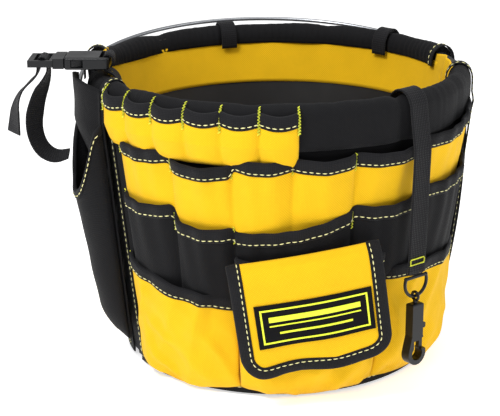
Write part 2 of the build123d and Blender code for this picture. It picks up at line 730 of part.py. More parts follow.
with BuildPart() as snap_hook:
    with BuildSketch(hang_plane.offset(-HOOK_THICKNESS / 2)) as hook_outline:
        with BuildLine():
            Polyline(
                (-HOOK_WIDTH / 2, HOOK_TOP_Z),
                (HOOK_WIDTH / 2, HOOK_TOP_Z),
                (HOOK_WIDTH / 2, 60),
                (HOOK_EYE_OUTER - 0.6, HOOK_EYE_Z + 4),
                (0.6 - HOOK_EYE_OUTER, HOOK_EYE_Z + 4),
                (-HOOK_WIDTH / 2, 60),
                close=True,
            )
        make_face()
        with Locations((0, HOOK_EYE_Z)):
            Circle(HOOK_EYE_OUTER)
            Circle(HOOK_EYE_INNER, mode=Mode.SUBTRACT)
        with Locations((0, 51)):
            Rectangle(8, 8, mode=Mode.SUBTRACT)
        with Locations((3.5 + 6, 51.5)):
            Rectangle(12, 11, mode=Mode.SUBTRACT)
    extrude(amount=HOOK_THICKNESS)
    fillet(snap_hook.faces().sort_by(Axis.Z)[-1].edges(), 1.5)
    channel_low = 50
    with BuildSketch(hang_plane.offset(-BOLT_WIDTH / 2 - 0.1)):
        with Locations((BOLT_WIDTH + 8, (channel_low + CHANNEL_TOP_Z) / 2)):
            Rectangle(16, CHANNEL_TOP_Z - channel_low)
    extrude(amount=BOLT_WIDTH + 0.2, mode=Mode.SUBTRACT)
    with BuildSketch(Plane(origin=hang_plane.from_local_coords((0, HEAD_Z - 0.3, 0)), z_dir=(0, 0, 1))):
        Circle(3.7)
    extrude(amount=2.4, mode=Mode.SUBTRACT)
    with BuildSketch(Plane(origin=hang_plane.from_local_coords((0, HEAD_Z, 0)), z_dir=(0, 0, 1))):
        Circle(SWIVEL_SHANK + 0.05)
    extrude(amount=10, mode=Mode.SUBTRACT)
save(snap_hook, "snap_hook")

BOLT_X = BOLT_WIDTH + 0.2 + BOLT_WIDTH / 2
with BuildPart() as hook_bolt:
    with BuildSketch(hang_plane.offset(-BOLT_WIDTH / 2)):
        with Locations((BOLT_X, (BOLT_LOW_Z + BOLT_TOP_Z) / 2)):
            Rectangle(BOLT_WIDTH, BOLT_TOP_Z - BOLT_LOW_Z)
        with Locations((BOLT_X + 3.2, 67)):
            RectangleRounded(5, 5, 1.2)
    extrude(amount=BOLT_WIDTH)
save(hook_bolt, "hook_bolt")

SPRING_RADIUS = 1.4
SPRING_TURNS = 5
with BuildPart() as bolt_spring:
    spring_base = hang_plane.from_local_coords((BOLT_X - 0.3, BOLT_TOP_Z + 0.5, 0))
    coil_pitch = (CHANNEL_TOP_Z - BOLT_TOP_Z - 1) / SPRING_TURNS
    with BuildLine() as coil:
        Helix(pitch=coil_pitch, height=coil_pitch * SPRING_TURNS, radius=SPRING_RADIUS, center=spring_base)
    with BuildSketch(Plane(origin=coil.line @ 0, z_dir=coil.line % 0)):
        Circle(0.25)
    sweep(is_frenet=True)
save(bolt_spring, "bolt_spring")

# ---- webbing straps over the rear rim ----
rear_straps = {"rear_strap_right": 127, "rear_strap_left": 187}
for strap_name, bearing in rear_straps.items():
    with BuildPart() as rear_strap:
        with BuildSketch(radial_plane(bearing)):
            with BuildLine():
                Line((inside[0], CREST_Z - 24), inside)
                ThreePointArc(inside, (crest_r, CREST_Z + lift), outside)
                Polyline(outside, (ROLL_OUTER + lift, 240), (ROLL_OUTER + lift, 200))
            trace(line_width=WEBBING)
        extrude(amount=8, both=True)
    save(rear_strap, strap_name)
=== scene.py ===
import random
from math import atan2, cos, degrees, hypot, pi, radians, sin, sqrt

import bpy
import numpy as np
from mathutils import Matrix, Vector, noise


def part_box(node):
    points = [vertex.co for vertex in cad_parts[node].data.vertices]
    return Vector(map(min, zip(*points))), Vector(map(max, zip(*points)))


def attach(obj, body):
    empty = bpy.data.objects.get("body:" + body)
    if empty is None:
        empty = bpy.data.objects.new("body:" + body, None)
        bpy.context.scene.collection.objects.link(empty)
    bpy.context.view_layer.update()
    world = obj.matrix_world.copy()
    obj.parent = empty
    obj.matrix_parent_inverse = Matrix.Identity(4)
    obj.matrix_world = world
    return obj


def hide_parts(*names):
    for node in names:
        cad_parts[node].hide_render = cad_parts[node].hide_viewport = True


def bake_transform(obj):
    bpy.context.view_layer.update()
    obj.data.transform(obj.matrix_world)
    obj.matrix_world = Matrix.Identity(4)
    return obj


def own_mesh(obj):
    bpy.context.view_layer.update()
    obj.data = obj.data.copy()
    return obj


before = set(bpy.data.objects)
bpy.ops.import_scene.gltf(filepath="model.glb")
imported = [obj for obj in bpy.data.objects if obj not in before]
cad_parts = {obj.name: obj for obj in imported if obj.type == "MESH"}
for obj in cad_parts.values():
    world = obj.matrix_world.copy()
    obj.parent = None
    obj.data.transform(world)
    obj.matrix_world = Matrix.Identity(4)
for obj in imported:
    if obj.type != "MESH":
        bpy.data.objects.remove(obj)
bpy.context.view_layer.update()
random.seed(7)

# Lengths in this script are millimetres, and MM turns them into the frame's metres.
# A bearing is an angle in degrees about +Z, 0 at -Y and growing towards +X.
MM = 0.001

# ---- the frame's own sizes ----
CREST_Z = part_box("rim_roll_front")[1][2] / MM
ROLL_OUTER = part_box("rim_roll_rear")[1][1] / MM
ROLL_INNER = ROLL_OUTER - 24
ROLL_SHOULDER_Z = CREST_Z - 15
PANEL_TOP_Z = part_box("base_panel_front")[1][2] / MM
PANEL_HEM_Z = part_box("base_panel_front")[0][2] / MM
HEM_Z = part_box("hem_binding_front")[0][2] / MM
PANEL_TOP_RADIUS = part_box("base_panel_rear")[1][1] / MM
PANEL_HEM_RADIUS = -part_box("hem_binding_front")[0][1] / MM
FRONT_HALF_SPAN = 72
FRONT_ROLL_LEFT = 86
FRONT_UNDERLAP = 82
REAR_PANEL = (80, 280)
REAR_ROLL = (98, 257)
REAR_FLARE = 13
FRONT_FLARE = 7
EAR_COVER_TOP_Z = 274
EAR_COVER_OUT = 9.5
BAND_TOP_Z = 262
BAND_LOW_Z = 217

# ---- camera, as the photograph was taken ----
VIEW_BEARING = -12
VIEW_ELEVATION = 18.4
VIEW_DISTANCE = 1400
VIEW_TARGET_Z = 135
LENS = 104.5
SENSOR = 36


def polar(radius, bearing, z):
    """The point at a radius, bearing and height, in metres."""
    return Vector((radius * sin(radians(bearing)), -radius * cos(radians(bearing)), z)) * MM


def make_camera():
    camera = bpy.data.objects.new("camera", bpy.data.cameras.new("camera"))
    bpy.context.scene.collection.objects.link(camera)
    run = VIEW_DISTANCE * cos(radians(VIEW_ELEVATION))
    rise = VIEW_DISTANCE * sin(radians(VIEW_ELEVATION))
    camera.location = polar(run, VIEW_BEARING, VIEW_TARGET_Z + rise)
    camera.rotation_euler = (radians(90 - VIEW_ELEVATION), 0, radians(VIEW_BEARING))
    camera.data.sensor_width = SENSOR
    camera.data.lens = LENS
    camera.data.shift_x = -0.0566
    camera.data.shift_y = -0.0124
    camera.data.clip_end = 20
    bpy.context.scene.camera = camera


def add_light(name, bearing, elevation, distance, size, power):
    data = bpy.data.lights.new(name, "AREA")
    data.size = size
    data.energy = power
    light = bpy.data.objects.new(name, data)
    bpy.context.scene.collection.objects.link(light)
    flat = distance * cos(radians(elevation))
    place = Vector((flat * sin(radians(bearing)), -flat * cos(radians(bearing)), distance * sin(radians(elevation))))
    light.location = place + Vector((0, 0, 0.14))
    light.rotation_euler = (-place).to_track_quat("-Z", "Y").to_euler()


def make_studio():
    floor_mesh = bpy.data.meshes.new("floor")
    reach = 60
    floor_mesh.from_pydata([(-reach, -reach, 0), (reach, -reach, 0), (reach, reach, 0), (-reach, reach, 0)], [], [(0, 1, 2, 3)])
    floor = bpy.data.objects.new("floor", floor_mesh)
    bpy.context.scene.collection.objects.link(floor)
    material = bpy.data.materials.new("studio_floor")
    material.use_nodes = True
    shader = material.node_tree.nodes["Principled BSDF"]
    shader.inputs["Base Color"].default_value = (0.93, 0.93, 0.93, 1)
    shader.inputs["Roughness"].default_value = 0.9
    shader.inputs["Specular IOR Level"].default_value = 0.1
    shader.inputs["Emission Color"].default_value = (1, 1, 1, 1)
    shader.inputs["Emission Strength"].default_value = 0.6
    floor.data.materials.append(material)
    world = bpy.data.worlds.new("studio")
    world.use_nodes = True
    world.node_tree.nodes["Background"].inputs["Color"].default_value = (1, 1, 1, 1)
    world.node_tree.nodes["Background"].inputs["Strength"].default_value = 0.5
    bpy.context.scene.world = world
    add_light("key", -50, 50, 1.7, 0.5, 20)
    add_light("fill", 60, 30, 1.8, 1.0, 5)
    add_light("top", 0, 85, 1.5, 1.0, 6)


make_camera()
make_studio()
bpy.context.scene.view_settings.view_transform = "Standard"


# ---- materials ----
def new_material(name, color, roughness, specular=0.5):
    material = bpy.data.materials.new(name)
    material.use_nodes = True
    shader = material.node_tree.nodes["Principled BSDF"]
    shader.inputs["Base Color"].default_value = (*color, 1)
    shader.inputs["Roughness"].default_value = roughness
    shader.inputs["Specular IOR Level"].default_value = specular
    return material, shader


def node(material, kind, **settings):
    made = material.node_tree.nodes.new(kind)
    for key, value in settings.items():
        if key in made.inputs:
            made.inputs[key].default_value = value
        else:
            setattr(made, key, value)
    return made


def link(material, source, target):
    material.node_tree.links.new(source, target)


def woven_material(name, color, shade, thread, diagonal, bump, sheen, roughness=0.8, worn=0.25, gloss=0.12):
    """Cloth: a weave in the piece's own cloth coordinates, blotchy colour, and a soft sheen.

    thread is the weave's period in millimetres, diagonal its turn in degrees, shade the colour between threads.
    """
    material, shader = new_material(name, color, roughness, 0.25)
    shader.inputs["Sheen Weight"].default_value = sheen
    shader.inputs["Sheen Roughness"].default_value = 0.5
    shader.inputs["Specular IOR Level"].default_value = gloss
    cloth = node(material, "ShaderNodeUVMap", uv_map="weave")
    turn = node(material, "ShaderNodeMapping", Rotation=(0, 0, radians(diagonal)), Scale=(1000, 1000, 1000))
    link(material, cloth.outputs["UV"], turn.inputs["Vector"])
    waves = []
    for direction in ("X", "Y"):
        wave = node(material, "ShaderNodeTexWave", bands_direction=direction, Scale=pi / 10 / thread)
        link(material, turn.outputs["Vector"], wave.inputs["Vector"])
        waves.append(wave)
    weave = node(material, "ShaderNodeMath", operation="MULTIPLY")
    link(material, waves[0].outputs["Fac"], weave.inputs[0])
    link(material, waves[1].outputs["Fac"], weave.inputs[1])
    place = node(material, "ShaderNodeTexCoord")
    blotch = node(material, "ShaderNodeTexNoise", Scale=38, Detail=6, Roughness=0.6)
    link(material, place.outputs["Object"], blotch.inputs["Vector"])
    fibre = node(material, "ShaderNodeTexNoise", Scale=1400, Detail=2)
    link(material, place.outputs["Object"], fibre.inputs["Vector"])
    threads = node(material, "ShaderNodeMix", data_type="RGBA", blend_type="MIX")
    threads.inputs["A"].default_value = (*shade, 1)
    threads.inputs["B"].default_value = (*color, 1)
    spread = node(material, "ShaderNodeMapRange")
    spread.inputs["To Min"].default_value = 0.35
    spread.inputs["To Max"].default_value = 1.0
    link(material, weave.outputs["Value"], spread.inputs["Value"])
    link(material, spread.outputs["Result"], threads.inputs["Factor"])
    tone = node(material, "ShaderNodeMix", data_type="RGBA", blend_type="MULTIPLY")
    tone.inputs["Factor"].default_value = worn
    dirt = node(material, "ShaderNodeMapRange")
    dirt.inputs["From Min"].default_value = 0.3
    dirt.inputs["From Max"].default_value = 0.7
    dirt.inputs["To Min"].default_value = 0.55
    dirt.inputs["To Max"].default_value = 1.25
    link(material, blotch.outputs["Fac"], dirt.inputs["Value"])
    link(material, threads.outputs["Result"], tone.inputs["A"])
    link(material, dirt.outputs["Result"], tone.inputs["B"])
    link(material, tone.outputs["Result"], shader.inputs["Base Color"])
    height = node(material, "ShaderNodeMath", operation="ADD")
    link(material, weave.outputs["Value"], height.inputs[0])
    link(material, fibre.outputs["Fac"], height.inputs[1])
    bumps = node(material, "ShaderNodeBump", Strength=bump, Distance=0.0005)
    link(material, height.outputs["Value"], bumps.inputs["Height"])
    link(material, bumps.outputs["Normal"], shader.inputs["Normal"])
    return material


def moulded_material(name, color, roughness, grain=0.25, specular=0.5):
    """Moulded plastic with a fine grain and slightly uneven gloss."""
    material, shader = new_material(name, color, roughness, specular)
    place = node(material, "ShaderNodeTexCoord")
    grains = node(material, "ShaderNodeTexNoise", Scale=1900, Detail=3)
    link(material, place.outputs["Object"], grains.inputs["Vector"])
    bumps = node(material, "ShaderNodeBump", Strength=grain, Distance=0.0002)
    link(material, grains.outputs["Fac"], bumps.inputs["Height"])
    link(material, bumps.outputs["Normal"], shader.inputs["Normal"])
    clouds = node(material, "ShaderNodeTexNoise", Scale=60, Detail=4)
    link(material, place.outputs["Object"], clouds.inputs["Vector"])
    gloss = node(material, "ShaderNodeMapRange")
    gloss.inputs["To Min"].default_value = max(roughness - 0.12, 0.05)
    gloss.inputs["To Max"].default_value = roughness + 0.12
    link(material, clouds.outputs["Fac"], gloss.inputs["Value"])
    link(material, gloss.outputs["Result"], shader.inputs["Roughness"])
    return material


def wire_material():
    """Galvanised steel wire."""
    material, shader = new_material("galvanised_wire", (0.36, 0.37, 0.39), 0.32)
    shader.inputs["Metallic"].default_value = 1
    place = node(material, "ShaderNodeTexCoord")
    scale = node(material, "ShaderNodeTexNoise", Scale=420, Detail=4)
    link(material, place.outputs["Object"], scale.inputs["Vector"])
    gloss = node(material, "ShaderNodeMapRange")
    gloss.inputs["To Min"].default_value = 0.2
    gloss.inputs["To Max"].default_value = 0.5
    link(material, scale.outputs["Fac"], gloss.inputs["Value"])
    link(material, gloss.outputs["Result"], shader.inputs["Roughness"])
    return material


def thread_material(name, color):
    """Sewing thread: a matt colour with a twist."""
    material, shader = new_material(name, color, 0.6)
    place = node(material, "ShaderNodeTexCoord")
    twist = node(material, "ShaderNodeTexNoise", Scale=900, Detail=2)
    link(material, place.outputs["Object"], twist.inputs["Vector"])
    bumps = node(material, "ShaderNodeBump", Strength=0.3, Distance=0.0002)
    link(material, twist.outputs["Fac"], bumps.inputs["Height"])
    link(material, bumps.outputs["Normal"], shader.inputs["Normal"])
    return material


YELLOW = woven_material("yellow_oxford", (0.98, 0.60, 0.012), (0.66, 0.36, 0.004), 1.5, 45, 0.45, 0.05, 0.8, 0.12)
BLACK = woven_material("black_oxford", (0.0085, 0.0085, 0.0095), (0.004, 0.004, 0.005), 1.5, 45, 0.5, 0.03, 0.75)
BINDING = woven_material("black_binding_tape", (0.013, 0.013, 0.015), (0.005, 0.005, 0.006), 1.4, 0, 0.6, 0.04, 0.7)
WEBBING = woven_material("black_webbing", (0.012, 0.012, 0.014), (0.005, 0.005, 0.006), 2.0, 0, 0.9, 0.05, 0.6)
PLASTIC = moulded_material("black_acetal", (0.0045, 0.005, 0.006), 0.33, specular=0.3)
BUCKET = moulded_material("black_bucket_plastic", (0.012, 0.012, 0.013), 0.5)
WIRE = wire_material()
STITCH = thread_material("cream_thread", (0.80, 0.76, 0.36))
TACK = thread_material("lime_thread", (0.80, 0.84, 0.05))
LABEL_BASE = moulded_material("label_rubber", (0.004, 0.004, 0.005), 0.75, specular=0.1)
LABEL_LINE = moulded_material("label_lime", (0.78, 0.88, 0.02), 0.45)
PILE = woven_material("tape_pile", (0.03, 0.03, 0.032), (0.01, 0.01, 0.01), 1.2, 0, 1.0, 0.5)


# ---- meshes ----
def add_piece(name, vertices, faces, material, body="root", uv=None, smooth=True):
    """A mesh object from millimetre vertices, riding on a body."""
    mesh = bpy.data.meshes.new(name)
    mesh.from_pydata([tuple(v) for v in np.asarray(vertices) * MM], [], faces)
    if uv is not None:
        layer = mesh.uv_layers.new(name="weave")
        loops = np.empty(len(mesh.loops), dtype=np.int32)
        mesh.loops.foreach_get("vertex_index", loops)
        layer.data.foreach_set("uv", (np.asarray(uv)[loops] * MM).astype(np.float32).ravel())
    mesh.update()
    if smooth:
        mesh.shade_smooth()
    mesh.materials.append(material)
    piece = bpy.data.objects.new(name, mesh)
    bpy.context.scene.collection.objects.link(piece)
    if body is not None:
        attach(piece, body)
    return piece


def grid_faces(rows, columns, wrap_rows=False, wrap_columns=False):
    """Quads of a grid whose vertex at row i, column j has index i * columns + j."""
    faces = []
    for i in range(rows if wrap_rows else rows - 1):
        for j in range(columns if wrap_columns else columns - 1):
            a, b = i, (i + 1) % rows
            c, d = j, (j + 1) % columns
            faces.append((a * columns + c, b * columns + c, b * columns + d, a * columns + d))
    return faces


def grid_uv(points):
    """Cloth coordinates of a grid of points: millimetres run along its rows and its columns."""
    along = np.linalg.norm(np.diff(points, axis=0), axis=2).mean(axis=1)
    across = np.linalg.norm(np.diff(points, axis=1), axis=2).mean(axis=0)
    u = np.concatenate([[0], np.cumsum(along)])
    v = np.concatenate([[0], np.cumsum(across)])
    grid = np.stack(np.meshgrid(u, v, indexing="ij"), axis=2)
    return grid.reshape(-1, 2)


def cloth_sheet(name, points, material, body="root", thickness=1.6, inward=True):
    """A sheet of cloth over a grid of points, thickened behind its outer face."""
    rows, columns = points.shape[:2]
    piece = add_piece(name, points.reshape(-1, 3), grid_faces(rows, columns), material, body, grid_uv(points))
    thick = piece.modifiers.new("thickness", "SOLIDIFY")
    thick.thickness = thickness * MM
    thick.offset = -1 if inward else 1
    return piece


def flat_size(points):
    """The cut size of a sheet of cloth over a grid of points: its mean run each way, in metres."""
    along = np.linalg.norm(np.diff(points, axis=0), axis=2).sum(axis=0).mean()
    across = np.linalg.norm(np.diff(points, axis=1), axis=2).sum(axis=1).mean()
    return (float(along * MM), float(across * MM))


def cylinder_points(bearings, radii, heights):
    """Millimetre points from arrays of bearing, radius and height."""
    angle = np.radians(bearings)
    return np.stack([radii * np.sin(angle), -radii * np.cos(angle), heights + 0 * angle], axis=-1)


def wobble(b, z, scale, seed):
    """Smooth noise between -1 and 1 over bearing and height arrays; scale is its size in millimetres."""
    flat = [noise.noise(Vector((x * 3 / scale, y / scale, seed * 7.3))) for x, y in zip(np.ravel(b), np.ravel(z))]
    return np.array(flat).reshape(np.shape(b)) * 1.6


def band_along(name, path, normals, section, material, body="root", ends=True):
    """Sweep a closed section along a path.

    path is (n, 3) millimetres, normals the outward directions, and section rows of (along the face, outward).
    """
    path = np.asarray(path, float)
    normals = np.asarray(normals, float)
    normals /= np.linalg.norm(normals, axis=1, keepdims=True)
    tangent = np.gradient(path, axis=0)
    tangent /= np.linalg.norm(tangent, axis=1, keepdims=True)
    side = np.cross(normals, tangent)
    side /= np.linalg.norm(side, axis=1, keepdims=True)
    section = np.asarray(section, float)
    points = path[:, None] + side[:, None] * section[None, :, :1] + normals[:, None] * section[None, :, 1:]
    rows, columns = points.shape[:2]
    faces = grid_faces(rows, columns, wrap_columns=True)
    if ends:
        faces.append(tuple(range(columns)))
        faces.append(tuple(range((rows - 1) * columns, rows * columns))[::-1])
    run = np.concatenate([[0], np.cumsum(np.linalg.norm(np.diff(path, axis=0), axis=1))])
    round_run = np.concatenate([[0], np.cumsum(np.linalg.norm(np.diff(section, axis=0), axis=1))])
    uv = np.stack(np.meshgrid(run, round_run, indexing="ij"), axis=2).reshape(-1, 2)
    return add_piece(name, points.reshape(-1, 3), faces, material, body, uv)


STITCH_LENGTH = 3.9
STITCH_GAP = 1.7
STITCH_RADIUS = 0.38


def stitch_mesh(runs, length=STITCH_LENGTH, gap=STITCH_GAP, radius=STITCH_RADIUS):
    """Vertices and faces of dashed stitches along each run, a pair of (points, outward directions)."""
    vertices, faces = [], []
    for path, normals in runs:
        path = np.asarray(path, float)
        steps = np.linalg.norm(np.diff(path, axis=0), axis=1)
        run = np.concatenate([[0], np.cumsum(steps)])
        count = int(run[-1] // (length + gap))
        for k in range(count):
            begin = (k + 0.5) * (length + gap) - length / 2
            marks = np.linspace(begin, begin + length, 4)
            centres = np.stack([np.interp(marks, run, path[:, axis]) for axis in range(3)], axis=1)
            outs = np.stack([np.interp(marks, run, normals[:, axis]) for axis in range(3)], axis=1)
            outs /= np.linalg.norm(outs, axis=1, keepdims=True)
            heading = centres[-1] - centres[0]
            heading /= np.linalg.norm(heading) + 1e-9
            sizes = np.array([0.35, 1, 1, 0.35]) * radius
            lifts = np.array([-0.3, 0.35, 0.35, -0.3]) * radius
            base = len(vertices)
            for centre, out, size, lift in zip(centres, outs, sizes, lifts):
                across = np.cross(heading, out)
                for turn in range(6):
                    angle = turn * pi / 3
                    vertices.append(centre + out * (lift + size * sin(angle)) + across * size * 1.25 * cos(angle))
            for ring in range(3):
                for turn in range(6):
                    a = base + ring * 6 + turn
                    b = base + ring * 6 + (turn + 1) % 6
                    faces.append((a, b, b + 6, a + 6))
            faces.append(tuple(base + turn for turn in range(6))[::-1])
            faces.append(tuple(base + 18 + turn for turn in range(6)))
    return vertices, faces


def add_stitches(name, runs, body="root", material=None, **shape):
    """One piece holding every dashed stitch of these runs."""
    vertices, faces = stitch_mesh(runs, **shape)
    return add_piece(name, vertices, faces, material or STITCH, body)


# ---- surfaces of the skirt ----
def panel_radius(z):
    """The outer face of the backing panels at a height."""
    share = (z - PANEL_HEM_Z) / (PANEL_TOP_Z - PANEL_HEM_Z)
    return PANEL_HEM_RADIUS + (PANEL_TOP_RADIUS - PANEL_HEM_RADIUS) * share


def bucket_inner(z):
    return 128 + 37 * z / 270 - 2.2


# ---- rim rolls ----
ROLL_ARC = 15
ROLL_INNER_LOW_Z = 257
GATHER = 1.3


def roll_section():
    """(radius, height) of the roll's outline, from inside the mouth over the crest and down outside."""
    middle = (ROLL_OUTER + ROLL_INNER) / 2
    half = (ROLL_OUTER - ROLL_INNER) / 2
    outline = [(ROLL_INNER + 1.0, z) for z in np.linspace(ROLL_INNER_LOW_Z, ROLL_SHOULDER_Z, 3)[:-1]]
    for angle in np.linspace(180, 0, 25):
        outline.append((middle + half * cos(radians(angle)), ROLL_SHOULDER_Z + ROLL_ARC * sin(radians(angle))))
    outline += [(ROLL_OUTER - 0.3 * i, z) for i, z in enumerate(np.linspace(ROLL_SHOULDER_Z, 237, 7)[1:])]
    return np.array(outline)


def level_roll(bearings):
    return 0 * bearings


def left_end_up(bearings):
    """How far the rear roll's left end stands up."""
    return 11 * np.clip((bearings - 226) / 30, 0, 1) ** 2


def rim_roll(name, start, end, seed, lift=level_roll):
    """A padded roll over the bucket's rim: cloth over soft foam, dented and creased along its run."""
    outline = roll_section()
    bearings = np.linspace(start, end, int((end - start) * 1.7))
    grid_b, grid_r = np.meshgrid(bearings, outline[:, 0], indexing="ij")
    grid_z = np.meshgrid(bearings, outline[:, 1], indexing="ij")[1]
    centre = np.array([(ROLL_OUTER + ROLL_INNER) / 2, ROLL_SHOULDER_Z])
    slack = 1.1 * wobble(grid_b, grid_z, 34, seed) + 0.22 * wobble(grid_b * 3, grid_z * 0.5, 14, seed + 3)
    pull = np.zeros_like(slack)
    for mark, depth, width in ROLL_DENTS.get(name, ()):
        pull += depth * np.exp(-((grid_b - mark) / width) ** 2)
    squeeze = (slack - 1.4 - pull) / 13
    radii = centre[0] + (grid_r - centre[0]) * (1 + squeeze * (np.abs(grid_z - centre[1]) < 40))
    gather = np.clip((centre[0] - grid_r) / 8, 0, 1) * np.clip((grid_z - ROLL_INNER_LOW_Z) / 6, 0, 1) * np.abs(np.sin(grid_b * 1.25 + wobble(grid_b, 0 * grid_z, 40, seed)))
    radii = radii + GATHER * gather
    heights = np.where(grid_z > centre[1], centre[1] + (grid_z - centre[1]) * (1 + squeeze * 0.9), grid_z)
    heights = heights + lift(grid_b)
    outer = cylinder_points(grid_b, radii, heights)
    inner = cylinder_points(grid_b, centre[0] + (radii - centre[0]) * 0.4,
                            np.where(heights > centre[1], centre[1] + (heights - centre[1]) * 0.4, heights))
    closed = np.concatenate([outer, inner[:, ::-1]], axis=1)
    rows, columns = closed.shape[:2]
    faces = grid_faces(rows, columns, wrap_columns=True)
    half = columns // 2
    for row in (0, rows - 1):
        for j in range(half - 1):
            corner = [row * columns + j, row * columns + j + 1]
            far = [row * columns + columns - 2 - j, row * columns + columns - 1 - j]
            quad = corner + far
            faces.append(tuple(quad if row else quad[::-1]))
    piece = add_piece(name + "_cloth", closed.reshape(-1, 3), faces, BLACK, uv=grid_uv(closed))
    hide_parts(name)
    return piece


ROLL_DENTS = {
    "rim_roll_front": ((24.5, 2.6, 2.2), (-63, 1.8, 2.5), (4, 1.0, 3.0), (52, 1.4, 3.0), (-20, 0.8, 2.0)),
    "rim_roll_rear": ((127, 1.8, 3), (187, 2.0, 3), (150, 0.9, 3), (214, 1.2, 3), (238, 0.9, 3)),
}
rim_roll("rim_roll_front", -FRONT_ROLL_LEFT, FRONT_HALF_SPAN, 1)
rim_roll("rim_roll_rear", *REAR_ROLL, 5, left_end_up)


# ---- inside bands ----
def inner_band(name, start, end, seed):
    """The yellow band inside the mouth, slightly loose; the pleated black cloth above it is the gathered inner side of
    the rim rolls.
    """
    bearings = np.linspace(start, end, int((end - start) * 1.2))
    heights = np.linspace(BAND_LOW_Z, BAND_TOP_Z, 14)
    grid_b, grid_z = np.meshgrid(bearings, heights, indexing="ij")
    loose = 0.5 + 0.5 * wobble(grid_b, grid_z, 60, seed)
    radii = bucket_inner(grid_z) - 0.6 - np.clip(loose, 0, 1.6)
    points = cylinder_points(grid_b, radii, grid_z)
    piece = cloth_sheet(name + "_cloth", points, YELLOW, thickness=1.0, inward=False)
    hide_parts(name)
    return piece


inner_band("inner_band_front", -89.7, 89.7, 2)
inner_band("inner_band_rear", 90.3, 269.7, 4)


def notch_lining(name, start, end, fold, rise, seed):
    """The band's corner folded up over the rim between the two rolls: (start, end) bearings, creased at fold."""
    bearings = np.linspace(start, end, 30)
    grid_b, grid_t = np.meshgrid(bearings, np.linspace(0, 1, 26), indexing="ij")
    crest = ROLL_SHOULDER_Z + rise - 14 * np.abs((grid_b - fold) / (end - start)) ** 1.3
    heights = BAND_LOW_Z + 6 + (crest - BAND_LOW_Z - 6) * grid_t
    crease = 2.6 * np.exp(-((grid_b - fold + 4 * (grid_t - 0.5)) / 1.6) ** 2)
    radii = ROLL_INNER + 2.5 + 3 * grid_t ** 4 + 0.8 * wobble(grid_b, heights, 24, seed) - crease
    points = cylinder_points(grid_b, radii, heights)
    cloth_sheet(name, points, YELLOW, thickness=1.0, inward=False)


notch_lining("notch_lining_left", -108, -78, -97, 25, 21)
notch_lining("notch_lining_right", 74, 97, 86, 12, 22)


# ---- pocket rows ----
def pocket_profile(share, crown):
    """0 at the seams and 1 across the middle of a pocket, from a share of its width."""
    return np.clip(np.sin(pi * np.clip(share, 0, 1)), 0, 1) ** crown


def eased(grid, width=5):
    """Smooth a grid along its first axis, so that the line steps gently at the seams."""
    kernel = np.hanning(width + 2)[1:-1]
    kernel /= kernel.sum()
    padded = np.concatenate([grid[:1].repeat(width // 2, 0), grid, grid[-1:].repeat(width // 2, 0)])
    return np.stack([np.convolve(column, kernel, "valid") for column in padded.T], axis=1)


def pocket_row(name, pockets, back, material, binding_height, folds, seed, crown=0.55, sag=3, tuck=2.5, step=0.55,
               tops=None, body="root", thickness=1.6, droop=0, nodes=None):
    """One row of pockets as a single continuous cloth, with its binding and stitching.

    pockets holds (left bearing, right bearing, floor z, top z, puff at the floor, puff at the top).
    """
    first, last = pockets[0][0], pockets[-1][1]
    bearings = np.linspace(first, last, int((last - first) / step) + 1)
    levels = np.linspace(0, 1, 34)
    grid_b, grid_t = np.meshgrid(bearings, levels, indexing="ij")
    floor = np.zeros_like(grid_b)
    top = np.zeros_like(grid_b)
    low_puff = np.zeros_like(grid_b)
    high_puff = np.zeros_like(grid_b)
    across = np.zeros_like(grid_b)
    grid_share = np.zeros_like(grid_b)
    for left, right, low, high, puff_low, puff_high in pockets:
        inside = (grid_b >= left - 1e-3) & (grid_b <= right + 1e-3)
        share = (grid_b - left) / (right - left)
        floor = np.where(inside, low, floor)
        ends = tops(left, right, share) if tops else 0
        top = np.where(inside, high + ends - sag * np.sin(pi * np.clip(share, 0, 1)), top)
        grid_share = np.where(inside, share, grid_share)
        low_puff = np.where(inside, puff_low, low_puff)
        high_puff = np.where(inside, puff_high, high_puff)
        across = np.where(inside, pocket_profile(share, crown), across)
    top = eased(top)
    floor = eased(floor)
    heights = floor + (top - floor) * grid_t
    rise = np.clip(grid_t * 6, 0, 1) ** 0.5
    heights = heights - droop * np.sin(pi * np.clip(grid_share, 0, 1)) * (1 - grid_t)
    puff = (low_puff + (high_puff - low_puff) * grid_t ** 0.8) * (0.35 + 0.65 * rise)
    mask = np.clip(across * 1.3, 0, 1)
    crumple = folds(grid_b, heights, grid_t, seed) * mask
    radii = back(heights) + thickness + (puff - thickness) * across + crumple
    radii = np.maximum(radii, back(heights) + thickness + 0.2)
    radii = np.minimum(radii, back(heights) + np.maximum(low_puff, high_puff) + 4)
    radii -= tuck * np.clip(1 - grid_t * 9, 0, 1) * across
    radii = np.maximum(radii, back(heights) + thickness * 0.9)
    points = cylinder_points(grid_b, radii, heights)
    piece = cloth_sheet(name + "_cloth", points, material, body, thickness)
    cloth_node, binding_node = nodes or (name + "_fabric", name + "_binding")
    if cloth_node:
        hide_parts(cloth_node)
    binding_on_cloth(name + "_binding_tape", points, binding_height, body, thickness)
    if binding_node:
        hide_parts(binding_node)
    return piece, points, bearings


def outward_of(bearings):
    angle = np.radians(bearings)
    return np.stack([np.sin(angle), -np.cos(angle), 0 * angle], axis=1)


def smooth_normals(edge, fallback):
    """Outward directions square to a curved edge, staying on the fallback's side."""
    tangent = np.gradient(edge, axis=0)
    tangent[:, 2] = 0
    tangent /= np.linalg.norm(tangent, axis=1, keepdims=True) + 1e-9
    normals = np.stack([tangent[:, 1], -tangent[:, 0], 0 * tangent[:, 0]], axis=1)
    flips = np.sign(np.sum(normals * fallback, axis=1, keepdims=True))
    return normals * np.where(flips == 0, 1, flips)


